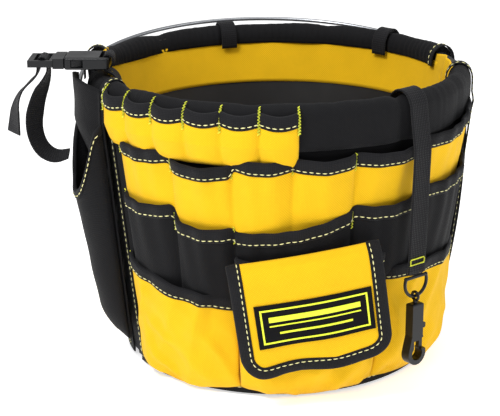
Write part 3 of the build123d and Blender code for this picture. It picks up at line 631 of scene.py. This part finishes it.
def binding_on_edge(name, edge, normals, height, body="root", thickness=1.6, stitched=True, grow=0.9, inward=None):
    """A binding folded over a cloth edge, with a dashed stitch line near its inner edge.

    inward is a point towards which the binding reaches from the edge; without one it reaches downwards.
    """
    tangent = np.gradient(edge, axis=0)
    tangent /= np.linalg.norm(tangent, axis=1, keepdims=True) + 1e-9
    down = np.cross(normals, tangent)
    down /= np.linalg.norm(down, axis=1, keepdims=True)
    towards = (inward - edge) if inward is not None else np.array([[0, 0, -1.0]])
    down *= np.sign(np.sum(down * towards, axis=1, keepdims=True).mean())
    out, back = grow, -thickness - grow
    section = [(height, out * 0.6), (height * 0.9, out), (height * 0.4, out + 0.35), (1.5, out + 0.2), (-0.2, out * 0.5),
               (-0.7, (out + back) / 2), (-0.2, back * 0.8), (2, back), (height * 0.9, back), (height, back * 0.7)]
    section = np.array(section)
    ripple = 0.35 * np.sin(np.arange(len(edge)) * 0.9) * np.array([noise.noise(Vector(p) * 0.04) for p in edge])
    points = edge[:, None] + down[:, None] * section[None, :, :1]
    points = points + normals[:, None] * (section[None, :, 1:] + ripple[:, None, None])
    rows, columns = points.shape[:2]
    faces = grid_faces(rows, columns, wrap_columns=True)
    faces.append(tuple(range(columns)))
    faces.append(tuple(range((rows - 1) * columns, rows * columns))[::-1])
    run = np.concatenate([[0], np.cumsum(np.linalg.norm(np.diff(edge, axis=0), axis=1))])
    round_run = np.concatenate([[0], np.cumsum(np.linalg.norm(np.diff(section, axis=0), axis=1))])
    uv = np.stack(np.meshgrid(run, round_run, indexing="ij"), axis=2).reshape(-1, 2)
    piece = add_piece(name, points.reshape(-1, 3), faces, BINDING, body, uv)
    if stitched:
        line = edge + down * (height - 2.6) + normals * (out + 0.15 + ripple[:, None])
        add_stitches(name + "_stitches", [(line, normals)], body)
    return piece


def surface_normals(points):
    """Outward directions of a grid of points whose rows run by bearing and whose columns run upwards."""
    normals = np.cross(np.gradient(points, axis=0), np.gradient(points, axis=1))
    return normals / (np.linalg.norm(normals, axis=2, keepdims=True) + 1e-9)


def binding_on_cloth(name, points, height, body="root", thickness=1.6, grow=0.9):
    """A binding folded over a cloth's top edge, following the cloth down, with a dashed line near its lower edge."""
    cloth = points[:, ::-1]
    normals = surface_normals(points)[:, ::-1]
    run = np.concatenate([np.zeros((len(cloth), 1)),
                          np.cumsum(np.linalg.norm(np.diff(cloth, axis=1), axis=2), axis=1)], axis=1)

    def at(distance):
        place = np.stack([[np.interp(distance, r, c[:, k]) for k in range(3)] for r, c in zip(run, cloth)])
        out = np.stack([[np.interp(distance, r, n[:, k]) for k in range(3)] for r, n in zip(run, normals)])
        return place, out / np.linalg.norm(out, axis=1, keepdims=True)

    rim, rim_out = at(0.0)
    below, _ = at(2.0)
    up = rim - below
    up /= np.linalg.norm(up, axis=1, keepdims=True) + 1e-9
    ripple = np.array([0.45 * noise.noise(Vector(p) * 0.09) for p in rim])[:, None]
    layers = []
    outline = ((height, grow * 0.5), (height * 0.93, grow), (height * 0.6, grow + 0.2), (height * 0.3, grow + 0.35),
               (1.5, grow + 0.25), (0.2, grow * 0.7))
    for distance, lift in outline:
        place, out = at(distance)
        layers.append(place + out * (lift + ripple))
    layers.append(rim + up * 1.0 - rim_out * thickness * 0.5)
    for distance, lift in ((0.2, 0.7), (1.5, 1.0), (height * 0.5, 1.0), (height * 0.93, 1.0), (height, 0.5)):
        place, out = at(distance)
        layers.append(place - out * (thickness + grow * lift))
    grid = np.stack(layers, axis=1)
    rows, columns = grid.shape[:2]
    faces = grid_faces(rows, columns, wrap_columns=True)
    faces.append(tuple(range(columns)))
    faces.append(tuple(range((rows - 1) * columns, rows * columns))[::-1])
    piece = add_piece(name, grid.reshape(-1, 3), faces, BINDING, body, grid_uv(grid))
    line, out = at(height - 2.8)
    add_stitches(name + "_stitches", [(line + out * (grow + 0.25 + ripple), out)], body)
    return piece


def no_folds(b, z, t, seed):
    return 0.5 * wobble(b, z, 26, seed)


def soft_folds(b, z, t, seed):
    """Soft vertical folds, stronger towards the mouth."""
    lines = np.sin(b * 0.9 + 1.5 * wobble(b * 0.6, z * 0.5, 40, seed)) * 0.9
    return (lines + 0.9 * wobble(b, z * 0.4, 22, seed + 1)) * (0.15 + 0.85 * t)


def ridge(b, z, scale, stretch, lean, seed):
    """Long sharp folds, 0 in the valleys and 1 on the ridges, stretched along a lean."""
    x = b * 2.9
    along = (x * sin(radians(lean)) + z * cos(radians(lean))) / (scale * stretch)
    across = (x * cos(radians(lean)) - z * sin(radians(lean))) / scale
    flat = [noise.noise(Vector((p, q, seed * 5.1))) for p, q in zip(np.ravel(across), np.ravel(along))]
    rounded = np.sqrt(np.array(flat).reshape(np.shape(b)) ** 2 + 0.004)
    return 1 - np.clip(rounded * 2.4, 0, 1)


def tucked_folds(b, z, t, seed):
    """The long leaning folds of a big soft pocket, with crumples low down."""
    low = np.clip(1 - t, 0, 1)
    long_folds = 9.0 * ridge(b, z, 38, 3.4, 24, seed) - 5.5
    crumples = 5.5 * ridge(b, z, 24, 2.0, -38, seed + 2) - 3.2
    return long_folds * (0.5 + 0.35 * low) + crumples * low ** 0.7


def even(puff_low, puff_high, pockets):
    return [(*pocket, puff_low, puff_high) for pocket in pockets]


def roll_face(z):
    """The roll's outer face at a height, carried down as a straight wall."""
    rise = np.clip((np.asarray(z, float) - ROLL_SHOULDER_Z) / ROLL_ARC, 0, 0.98)
    middle = (ROLL_OUTER + ROLL_INNER) / 2
    drop = np.clip(ROLL_SHOULDER_Z - 20 - z, 0, None) * 0.35
    return middle + (ROLL_OUTER - middle) * np.sqrt(1 - rise ** 2) - drop - 0.8


roll_front = [(-69 + 10.4 * i, -69 + 10.4 * (i + 1), 222, 271) for i in range(6)]
UPPER = pocket_row("upper_loop", even(7, 6.5, roll_front), roll_face, YELLOW,
                   12, no_folds, 11, crown=0.6, sag=2.5)
MIDDLE_POCKETS = [(-65, -44, 160, 231), (-44, -25, 148, 223), (-25, -8, 145, 231), (-8, 10, 152, 231),
                  (10, 33, 163, 232), (33, 68, 170, 236)]
BLACK_POCKETS = [(-65, -44, 85, 180), (-44, -25, 80, 168), (-25, 10, 118, 173), (10, 33, 105, 184),
                 (33, 68, 95, 190)]
LOWER_LEFT = [(-67, -25, 9, 108)]
LOWER_RIGHT = [(22, 70, 9, 118)]


def middle_tops(left, right, share):
    if left == 33:
        return 16 * np.clip(share, 0, 1) ** 2
    return 0 * share


def black_tops(left, right, share):
    if left == -25:
        return -12 + 18 * np.clip(share, 0, 1)
    if left == -44:
        return -2 * np.clip(share, 0, 1)
    if left == 33:
        return 8 * np.clip(share, 0, 1) ** 2
    return 0 * share


def lower_left_tops(left, right, share):
    return 12 - 22 * np.clip(share, 0, 1)


def lower_right_tops(left, right, share):
    return 2 - 16 * np.clip(share - 0.5, 0, 0.5)


MIDDLE = pocket_row("middle_pocket", even(3.5, 11, MIDDLE_POCKETS), panel_radius, YELLOW,
                    12, soft_folds, 21, tops=middle_tops)
BLACKS = pocket_row("black_pocket", even(8, 12.5, BLACK_POCKETS), panel_radius, BLACK,
                    12, soft_folds, 31, tops=black_tops)



pocket_row("lower_pocket_left", [(-67, -25, 9, 108, 16, 14)], panel_radius, YELLOW, 12, tucked_folds,
           41, tops=lower_left_tops, crown=0.45, droop=7, nodes=("lower_pocket_fabric", "lower_pocket_binding"))
pocket_row("lower_pocket_right", [(22, 70, 9, 118, 17, 14)], panel_radius, YELLOW, 12, tucked_folds,
           43, tops=lower_right_tops, crown=0.45, droop=5, nodes=((), ()))


# ---- holster ----
def holster_back(z):
    return 162 + 21 * (z - 30) / 216


def holster_tops(left, right, share):
    return 70 * np.abs(2 * np.clip(share, 0, 1) - 1) ** 2.4


pocket_row("holster", [(-88, -70, 30, 172, 12, 24)], holster_back, BLACK, 8, no_folds, 61,
           tops=holster_tops, sag=0, crown=0.5, nodes=("holster_front", "holster_binding"))


def cylinder_sheet(name, start, end, low, high, radius, node_name, material, slot, thickness, seed, wave=0.5, flare=0):
    """A sheet of cloth standing round the axis, with gentle waves."""
    bearings = np.linspace(start, end, max(int(abs(end - start) * 1.2), 12))
    grid_b, grid_z = np.meshgrid(bearings, np.linspace(low, high, 40), indexing="ij")
    share = (grid_z - low) / (high - low)
    loose = flare * np.exp(-((grid_b - start) / 9) ** 2) * np.sin(pi * np.clip(share * 0.9 + 0.05, 0, 1)) ** 0.7
    loose = loose + FRONT_FLARE * np.clip((grid_b - 64) / 8, 0, 1) ** 2 * (grid_b < 90) * (flare == 0)
    points = cylinder_points(grid_b, radius(grid_z) + wave * (wobble(grid_b, grid_z, 40, seed) - 0.6) + loose, grid_z)
    piece = cloth_sheet(name, points, material, thickness=thickness)
    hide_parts(node_name)
    return piece, points


cylinder_sheet("base_panel_front_cloth", -FRONT_UNDERLAP, FRONT_UNDERLAP, PANEL_HEM_Z, PANEL_TOP_Z, panel_radius,
               "base_panel_front", BLACK, "black_fabric", 2.0, 71)
cylinder_sheet("base_panel_rear_cloth", *REAR_PANEL, PANEL_HEM_Z, PANEL_TOP_Z, panel_radius,
               "base_panel_rear", BLACK, "black_fabric", 2.0, 73, flare=REAR_FLARE)
cylinder_sheet("holster_back_cloth", -89, -70, 30, 262, lambda z: np.minimum(holster_back(z) - 0.3, 181.5),
               "holster_back", BLACK, "black_fabric", 1.4, 75, wave=0.3)


# ---- bands that run along an upright profile at one bearing ----
def over_roll(lift, inner_z, outer):
    """(radius, height) points from inside the mouth, over the roll and on through the outer points."""
    middle = (ROLL_OUTER + ROLL_INNER) / 2
    half = (ROLL_OUTER - ROLL_INNER) / 2 + lift
    path = [(middle - half, z) for z in np.linspace(inner_z, ROLL_SHOULDER_Z, 4)[:-1]]
    for angle in np.linspace(180, 0, 21):
        path.append((middle + half * cos(radians(angle)), ROLL_SHOULDER_Z + (ROLL_ARC + lift) * sin(radians(angle))))
    return path + list(outer)


def resampled(path, spacing=3.0):
    """A polyline as evenly spaced points."""
    path = np.asarray(path, float)
    run = np.concatenate([[0], np.cumsum(np.linalg.norm(np.diff(path, axis=0), axis=1))])
    marks = np.linspace(0, run[-1], max(int(run[-1] / spacing), 3))
    return np.stack([np.interp(marks, run, path[:, axis]) for axis in range(path.shape[1])], axis=1)


def softened(path, rounds=2):
    """A polyline with its corners cut."""
    path = np.asarray(path, float)
    for _ in range(rounds):
        near = path[:-1] * 0.75 + path[1:] * 0.25
        far = path[:-1] * 0.25 + path[1:] * 0.75
        path = np.concatenate([path[:1], np.stack([near, far], axis=1).reshape(-1, path.shape[1]), path[-1:]])
    return path


def tape_section(width, thickness, rim=0.25):
    """The outline of a woven tape lying on its path, with slightly thicker selvedges."""
    half = width / 2
    return [(-half, 0.2), (-half, thickness - 0.2), (-half + 0.8, thickness + rim), (-half + 2, thickness),
            (0, thickness + 0.05), (half - 2, thickness), (half - 0.8, thickness + rim), (half, thickness - 0.2),
            (half, 0.2), (0, 0)]


def profile_tape(name, profile, bearing, width, thickness, material, nodes, body="root", bend=None):
    """A tape along a (radius, height) profile at one bearing, lying on its outer side."""
    profile = resampled(profile)
    turn = bearing + (bend(profile) if bend is not None else 0 * profile[:, 0])
    path = cylinder_points(turn, profile[:, 0], profile[:, 1])
    step = np.gradient(profile, axis=0)
    flat = outward_of(turn)
    normals = flat * -step[:, 1:] + np.array([[0, 0, 1.0]]) * step[:, :1]
    normals /= np.linalg.norm(normals, axis=1, keepdims=True)
    piece = band_along(name, path, normals, tape_section(width, thickness), material, body)
    if nodes:
        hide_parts(*nodes)
    return piece, path, normals


def panel_profile(lift, low=HEM_Z):
    heights = np.linspace(PANEL_TOP_Z + 6, low, 30)
    return [(max(panel_radius(min(z, PANEL_TOP_Z)), 0) + lift + (1.5 if z > PANEL_TOP_Z else 0), z) for z in heights]


for side, bearing in (("left", -FRONT_HALF_SPAN + 0.4), ("right", FRONT_HALF_SPAN - 0.4)):
    flare = FRONT_FLARE if side == "right" else 0
    edge_path = over_roll(-0.6, 257, [(ROLL_OUTER - 0.6, 250)] + panel_profile(0.5 + flare, PANEL_HEM_Z))
    _, line, out = profile_tape(f"front_edge_{side}_tape", edge_path, bearing, 9, 1.2, BINDING,
                                [f"front_edge_binding_{side}"])
    inner_side = outward_of(np.full(len(line), bearing + (90 if bearing < 0 else -90)))
    add_stitches(f"front_edge_{side}_stitches", [(line + out * 1.3 + inner_side * 2.6, out)])
for side, bearing in (("right", REAR_PANEL[0] + 0.4), ("left", REAR_PANEL[1] - 0.4)):
    edge_path = [(PANEL_TOP_RADIUS + 0.3, PANEL_TOP_Z)] + panel_profile(0.3, PANEL_HEM_Z)[4:]
    if side == "right":
        edge_path = [(r + REAR_FLARE * max(sin(pi * min(max((z - PANEL_HEM_Z) / (PANEL_TOP_Z - PANEL_HEM_Z) * 0.9 + 0.05, 0),
                                                        1)), 0) ** 0.7, z) for r, z in edge_path]
    profile_tape(f"rear_edge_{side}_tape", edge_path, bearing, 8, 1.2, BINDING,
                 [f"rear_edge_binding_{side}"])
for side, bearing, lift in (("right", REAR_ROLL[0] - 0.6, 0), ("left", REAR_ROLL[1] + 0.6, 11)):
    end_path = [(r, z + lift) for r, z in over_roll(-0.6, 257, [(ROLL_OUTER + 0.3, z) for z in (255, 246)])]
    _, line, out = profile_tape(f"rear_roll_{side}_tape", end_path, bearing, 8, 1.2, BINDING,
                                [f"rear_roll_binding_{side}"])
    inner_side = outward_of(np.full(len(line), bearing + (90 if side == "right" else -90)))
    add_stitches(f"rear_roll_{side}_stitches", [(line + out * 1.3 + inner_side * 2.4, out)])


def ring_tape(name, start, end, radius, low, high, node_name):
    """The hem binding, a tape lying round the skirt's lower edge."""
    bearings = np.linspace(start, end, int((end - start) * 0.8))
    path = cylinder_points(bearings, np.full(len(bearings), radius), np.full(len(bearings), (low + high) / 2))
    piece = band_along(name, path, outward_of(bearings), [(s, o) for s, o in tape_section(high - low, 1.6)],
                       BINDING)
    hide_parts(node_name)
    add_stitches(name + "_stitches", [(path + outward_of(bearings) * 1.8 + np.array([[0, 0, 1.2]]), outward_of(bearings))])


ring_tape("hem_front_tape", -FRONT_HALF_SPAN, FRONT_HALF_SPAN, PANEL_HEM_RADIUS - 1.2, HEM_Z - 0.5, PANEL_HEM_Z + 2,
          "hem_binding_front")
ring_tape("hem_rear_tape", *REAR_PANEL, PANEL_HEM_RADIUS - 1.2, HEM_Z - 0.5, PANEL_HEM_Z + 2, "hem_binding_rear")

# ---- rear rows ----
REAR_BEARINGS = ((104, 154), (154, 206), (206, 256))
pocket_row("rear_upper_pocket", [(a, b, 95, 186, 7, 12) for a, b in REAR_BEARINGS], panel_radius, BLACK,
           12, soft_folds, 81)
pocket_row("rear_lower_pocket", [(a, b, 9, 114, 10, 14) for a, b in REAR_BEARINGS], panel_radius, YELLOW,
           12, tucked_folds, 83, crown=0.45)

# ---- lidded pocket ----
LID_BEARING = -5.3
LID_TILT = 8
HINGE_REACH = 178
HINGE_Z = 147
FLAP_HALF = 66
FLAP_CORNER = 22
FLAP_SECTION = [(0, 0), (15, -10), (6, -105)]
FLAP_SAG = 5
FLAP_BINDING = 11.5
pocket_row("lid_pocket", [(-25, 22, 9, 138, 15, 20)], panel_radius, YELLOW, 11, tucked_folds, 51,
           crown=0.4, droop=7)

flap_profile = softened(FLAP_SECTION, 3)
flap_run = np.concatenate([[0], np.cumsum(np.linalg.norm(np.diff(flap_profile, axis=0), axis=1))])
FLAP_LENGTH = flap_run[-1]


def flap_frame():
    """The hinge's own directions: right as seen from outside, up, and outward."""
    angle, tilt = radians(LID_BEARING), radians(LID_TILT)
    level = np.array([cos(angle), sin(angle), 0])
    out = np.array([sin(angle), -cos(angle), 0])
    up = np.array([0, 0, 1.0])
    right = level * cos(tilt) + up * sin(tilt)
    rise = up * cos(tilt) - level * sin(tilt)
    return out * HINGE_REACH + up * HINGE_Z, right, rise, out


FLAP_ORIGIN, FLAP_RIGHT, FLAP_UP, FLAP_OUT = flap_frame()


def flap_points(x, run, lift=0.0):
    """Points on the flap's outer face from sideways distance and distance along the flap from its hinge."""
    x, run = np.broadcast_arrays(np.asarray(x, float), np.asarray(run, float))
    depth = np.interp(run, flap_run, flap_profile[:, 0])
    drop = np.interp(run, flap_run, flap_profile[:, 1])
    share = run / FLAP_LENGTH
    hang = -FLAP_SAG * (x / FLAP_HALF) ** 2
    ripple = 1.1 * share ** 3 * np.sin(x * 0.105 + 0.6) + 0.9 * share * np.sin(x * 0.05 + run * 0.045)
    depth = depth + hang + ripple + 1.2 + lift
    drop = drop - 1.6 * share ** 4 * np.sin(x * 0.085)
    return FLAP_ORIGIN + x[..., None] * FLAP_RIGHT + drop[..., None] * FLAP_UP + depth[..., None] * FLAP_OUT


def flap_normals(x, run):
    across = flap_points(x + 0.5, run) - flap_points(x - 0.5, run)
    along = flap_points(x, run + 0.5) - flap_points(x, run - 0.5)
    normals = np.cross(along, across)
    normals /= np.linalg.norm(normals, axis=-1, keepdims=True)
    return normals * np.sign(np.sum(normals * FLAP_OUT, axis=-1, keepdims=True))


def flap_half_width(run):
    """Half the flap's width, narrowing round its lower corners."""
    into = np.clip(run - (FLAP_LENGTH - FLAP_CORNER), 0, FLAP_CORNER)
    return FLAP_HALF - FLAP_CORNER + np.sqrt(np.maximum(FLAP_CORNER ** 2 - into ** 2, 0))


runs = np.concatenate([np.linspace(0, FLAP_LENGTH - FLAP_CORNER, 40),
                       FLAP_LENGTH - FLAP_CORNER + FLAP_CORNER * np.sin(np.linspace(0.08, pi / 2, 14))])
shares = np.linspace(-1, 1, 61)
flap_x = shares[None, :] * flap_half_width(runs)[:, None]
flap_grid = flap_points(flap_x, runs[:, None] + 0 * flap_x)
flap_piece = cloth_sheet("lid_flap_cloth", flap_grid, YELLOW, "flap", 2.2)
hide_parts("lid_flap")
corner = np.radians(np.linspace(0, 90, 12))
left_side = [(-FLAP_HALF, run) for run in np.linspace(0.6, FLAP_LENGTH - FLAP_CORNER, 26)]
left_turn = [(-FLAP_HALF + FLAP_CORNER * (1 - cos(a)), FLAP_LENGTH - FLAP_CORNER * (1 - sin(a))) for a in corner[1:]]
bottom = [(x, FLAP_LENGTH) for x in np.linspace(-FLAP_HALF + FLAP_CORNER, FLAP_HALF - FLAP_CORNER, 24)[1:-1]]
right_turn = [(-x, run) for x, run in left_turn[::-1]]
right_side = [(-x, run) for x, run in left_side[::-1]]
outline = np.array(left_side + left_turn + bottom + right_turn + right_side)
outline = resampled(outline, 2.2)
flap_edge = flap_points(outline[:, 0], outline[:, 1])
flap_edge_normals = flap_normals(outline[:, 0], outline[:, 1])
flap_middle = flap_points(np.array(0.0), np.array(FLAP_LENGTH * 0.45))
binding_on_edge("lid_flap_binding_tape", flap_edge, flap_edge_normals, FLAP_BINDING, "flap", 2.2, inward=flap_middle)
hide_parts("lid_flap_binding")


def flap_patch(name, x0, x1, run0, run1, lift, thick, material, radius=0):
    """A flat patch lying on the flap's face."""
    xs = np.linspace(x0, x1, max(int((x1 - x0) / 3), 2))
    ys = np.linspace(run0, run1, max(int((run1 - run0) / 3), 2))
    grid_x, grid_run = np.meshgrid(xs, ys, indexing="ij")
    points = flap_points(grid_x, grid_run, lift + thick)
    piece = add_piece(name, points.reshape(-1, 3), grid_faces(*points.shape[:2]), material, "flap",
                      grid_uv(points), smooth=False)
    solid = piece.modifiers.new("thickness", "SOLIDIFY")
    solid.thickness = thick * MM
    solid.offset = 1
    edge = piece.modifiers.new("edge", "BEVEL")
    edge.width = 0.3 * MM
    edge.segments = 2
    return piece


LABEL_X, LABEL_RUN, LABEL_HALF_W, LABEL_HALF_H = 2, 61, 51, 20.5
label = flap_patch("label_patch_rubber", LABEL_X - LABEL_HALF_W, LABEL_X + LABEL_HALF_W, LABEL_RUN - LABEL_HALF_H,
                   LABEL_RUN + LABEL_HALF_H, 0.1, 1.2, LABEL_BASE)
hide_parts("label_patch")
FRAME_INSET, FRAME_LINE = 4.2, 1.7
low_x, high_x = LABEL_X - LABEL_HALF_W + FRAME_INSET, LABEL_X + LABEL_HALF_W - FRAME_INSET
low_run, high_run = LABEL_RUN - LABEL_HALF_H + FRAME_INSET, LABEL_RUN + LABEL_HALF_H - FRAME_INSET
bars = {
    "top": (low_x, high_x, low_run, low_run + FRAME_LINE),
    "bottom": (low_x, high_x, high_run - FRAME_LINE, high_run),
    "left": (low_x, low_x + FRAME_LINE, low_run + FRAME_LINE, high_run - FRAME_LINE),
    "right": (high_x - FRAME_LINE, high_x, low_run + FRAME_LINE, high_run - FRAME_LINE),
    "rule": (low_x + 7, high_x - 7, LABEL_RUN - 1.0, LABEL_RUN + 0.3),
    "bar": (low_x + 7, high_x - 7, LABEL_RUN - 9, LABEL_RUN - 4),
    "short_bar": (low_x + 15, high_x - 15, LABEL_RUN + 6, LABEL_RUN + 8),
}
for bar, (x0, x1, run0, run1) in bars.items():
    flap_patch(f"label_line_{bar}", x0, x1, run0, run1, 1.25, 0.5, LABEL_LINE)


# ---- the cloth that hides the left ear ----
bearings = np.linspace(-97, -71, 36)
grid_b, grid_t = np.meshgrid(bearings, np.linspace(0, 1, 24), indexing="ij")
grid_z = 196 + (EAR_COVER_TOP_Z - 7 * np.abs((grid_b + 84) / 13) ** 2 - 196) * grid_t
middle = np.clip(1 - np.abs((grid_b + 86) / 13.5) ** 3, 0, 1)
cover_r = np.minimum(holster_back(grid_z), 181.5) + 0.8 + EAR_COVER_OUT * middle * np.clip(grid_t * 2.2, 0, 1) ** 0.8
cover_r += 0.9 * wobble(grid_b, grid_z, 26, 91)
cloth_sheet("ear_cover_cloth", cylinder_points(grid_b, cover_r, grid_z), BLACK, thickness=1.4)

# ---- straps ----
BUCKLE = np.array([-194, -22.2, 288.5])
BUCKLE_OUT = np.array([-cos(radians(12)), sin(radians(12)), 0])
BUCKLE_SIDE = np.array([-BUCKLE_OUT[1], BUCKLE_OUT[0], 0])


def buckle_tape(name, path, node_name, body="root", width=20, thickness=1.6, spacing=2.5, twist=None):
    """Webbing along a path drawn in the upright plane through the buckle: outboard distance, height."""
    path = resampled(softened(path, 2), spacing)
    points = BUCKLE + path[:, :1] * BUCKLE_OUT + path[:, 1:] * np.array([[0, 0, 1.0]])
    step = np.gradient(path, axis=0)
    normals = -step[:, 1:] * BUCKLE_OUT + step[:, :1] * np.array([[0, 0, 1.0]])
    normals /= np.linalg.norm(normals, axis=1, keepdims=True)
    if twist is not None:
        share = np.linspace(0, 1, len(points))
        turn = np.radians(np.interp(share, *np.array(twist).T))[:, None]
        normals = normals * np.cos(turn) + BUCKLE_SIDE * np.sin(turn)
    section = [(s, o - thickness / 2) for s, o in tape_section(width, thickness, 0.1)]
    piece = band_along(name, points, normals, section, WEBBING, body)
    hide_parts(node_name)
    return piece


ANCHOR_PATH = [(-45, -35.5), (-43.5, -17), (-37.5, -9.5), (-29.7, -7.3), (-29.7, 7), (-38.7, 7), (-38.7, -3)]
buckle_tape("anchor_webbing", ANCHOR_PATH, "anchor_strap")
ADJUSTER_PATH = [(5, -86.5), (18, -90), (31, -81), (36.5, -60), (31, -34), (19.6, -12), (19.6, 4.6), (28.2, 4.6),
                 (28.2, -12), (40, -22), (51, -37), (54, -67)]
adjuster = buckle_tape("adjuster_webbing", ADJUSTER_PATH, "adjuster_strap", None,
                       twist=[(0, 10), (0.12, 28), (0.3, 42), (0.42, 30), (0.52, 0), (0.78, 0), (0.9, 30), (1, 42)])
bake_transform(adjuster)

HANGER_BEARING = 27.5
HANGER_LEAN = 1.5
hanger_path = over_roll(1.1, CREST_Z - 22, [(182.4, 255), (185.6, 240), (188.1, 228), (188.3, 118)])
profile_tape("hanger_webbing", hanger_path, HANGER_BEARING, 20, 1.6, WEBBING, ["hanger_strap"],
             bend=lambda profile: HANGER_LEAN * np.clip((profile[:, 1] - 120) / 135, 0, 1))
for side, bearing in (("right", 127), ("left", 187)):
    rear_path = over_roll(0.6, 254, [(ROLL_OUTER + 0.9, 250), (ROLL_OUTER + 0.6, 236), (172.8, 226), (169.4, 200)])
    profile_tape(f"rear_strap_{side}_webbing", rear_path, bearing, 16, 1.6, WEBBING,
                 [f"rear_strap_{side}"])


# ---- bar-tacks ----
def zigzag(path, normals, half_width=1.4, pitch=1.2, radius=0.58):
    """Vertices and faces of a zigzag stitch along a path."""
    path = resampled(np.concatenate([path, normals], axis=1), pitch)
    centre, out = path[:, :3], path[:, 3:]
    out /= np.linalg.norm(out, axis=1, keepdims=True)
    along = np.gradient(centre, axis=0)
    along /= np.linalg.norm(along, axis=1, keepdims=True)
    side = np.cross(along, out)
    swing = np.where(np.arange(len(centre)) % 2, 1, -1)[:, None] * half_width
    spine = centre + side * swing + out * 0.3
    vertices, faces = [], []
    for i, (point, normal, heading) in enumerate(zip(spine, out, along)):
        for turn in range(6):
            angle = turn * pi / 3
            vertices.append(point + normal * radius * sin(angle) + heading * radius * cos(angle))
        if i:
            for turn in range(6):
                a, b = (i - 1) * 6 + turn, (i - 1) * 6 + (turn + 1) % 6
                faces.append((a, b, b + 6, a + 6))
    return vertices, faces


def add_tacks(name, runs, material=None, body="root", **shape):
    vertices, faces = [], []
    for path, normals in runs:
        more, more_faces = zigzag(path, normals, **shape)
        faces += [tuple(index + len(vertices) for index in face) for face in more_faces]
        vertices += more
    return add_piece(name, vertices, faces, material or TACK, body)


def upright_run(bearing, low, high, radius, lift):
    heights = np.linspace(low, high, 20)
    bearings = np.full(20, float(bearing))
    return cylinder_points(bearings, radius(heights) + lift, heights), outward_of(bearings)


add_tacks("roll_bar_tacks", [upright_run(-69 + 10.4 * i, 253, 275.5, roll_face, 3.0) for i in range(7)])
row_tacks = [upright_run(bearing, top - 15, top + 1, panel_radius, 3.2)
             for bearing, top in ((-65, 231), (-44, 226), (-25, 226), (-8, 231), (10, 231), (33, 233))]
row_tacks += [upright_run(bearing, top - 15, top + 1, panel_radius, 3.2)
              for bearing, top in ((-65, 180), (-44, 172), (-25, 166), (10, 178), (33, 186), (68, 188))]
row_tacks += [upright_run(bearing, top - 16, top, panel_radius, 3.2) for bearing, top in ((-67, 119), (22, 119), (70, 112))]
add_tacks("row_bar_tacks", row_tacks, half_width=0.9)
box_x, box_z = 8.2, (127, 132)
hanger_angle = radians(HANGER_BEARING)
hanger_side = np.array([cos(hanger_angle), sin(hanger_angle), 0])
hanger_face = np.array([sin(hanger_angle), -cos(hanger_angle), 0])
box_corners = [(-box_x, box_z[0]), (box_x, box_z[0]), (box_x, box_z[1]), (-box_x, box_z[1]), (-box_x, box_z[0])]
box_path = resampled([hanger_face * 190.1 + hanger_side * x + np.array([0, 0, z]) for x, z in box_corners], 1.5)
add_tacks("hanger_box_stitch", [(box_path, np.tile(hanger_face, (len(box_path), 1)))], half_width=0.5, pitch=0.9)

# ---- hard parts keep their own meshes ----
HARD = {
    "bucket": BUCKET, "bail_wire": WIRE, "buckle_socket": PLASTIC, "buckle_plug": PLASTIC, "buckle_prongs": PLASTIC,
    "d_ring": PLASTIC, "swivel_eye": PLASTIC, "snap_hook": PLASTIC, "hook_bolt": PLASTIC, "hanger_end_bar": PLASTIC,
    "bolt_spring": WIRE, "hook_tape": PILE, "loop_tape": PILE,
}
for name, material in HARD.items():
    mesh = bpy.data.objects[name].data
    mesh.materials.clear()
    mesh.materials.append(material)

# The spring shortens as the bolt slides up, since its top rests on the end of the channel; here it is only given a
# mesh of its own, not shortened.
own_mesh(bpy.data.objects["bolt_spring"])
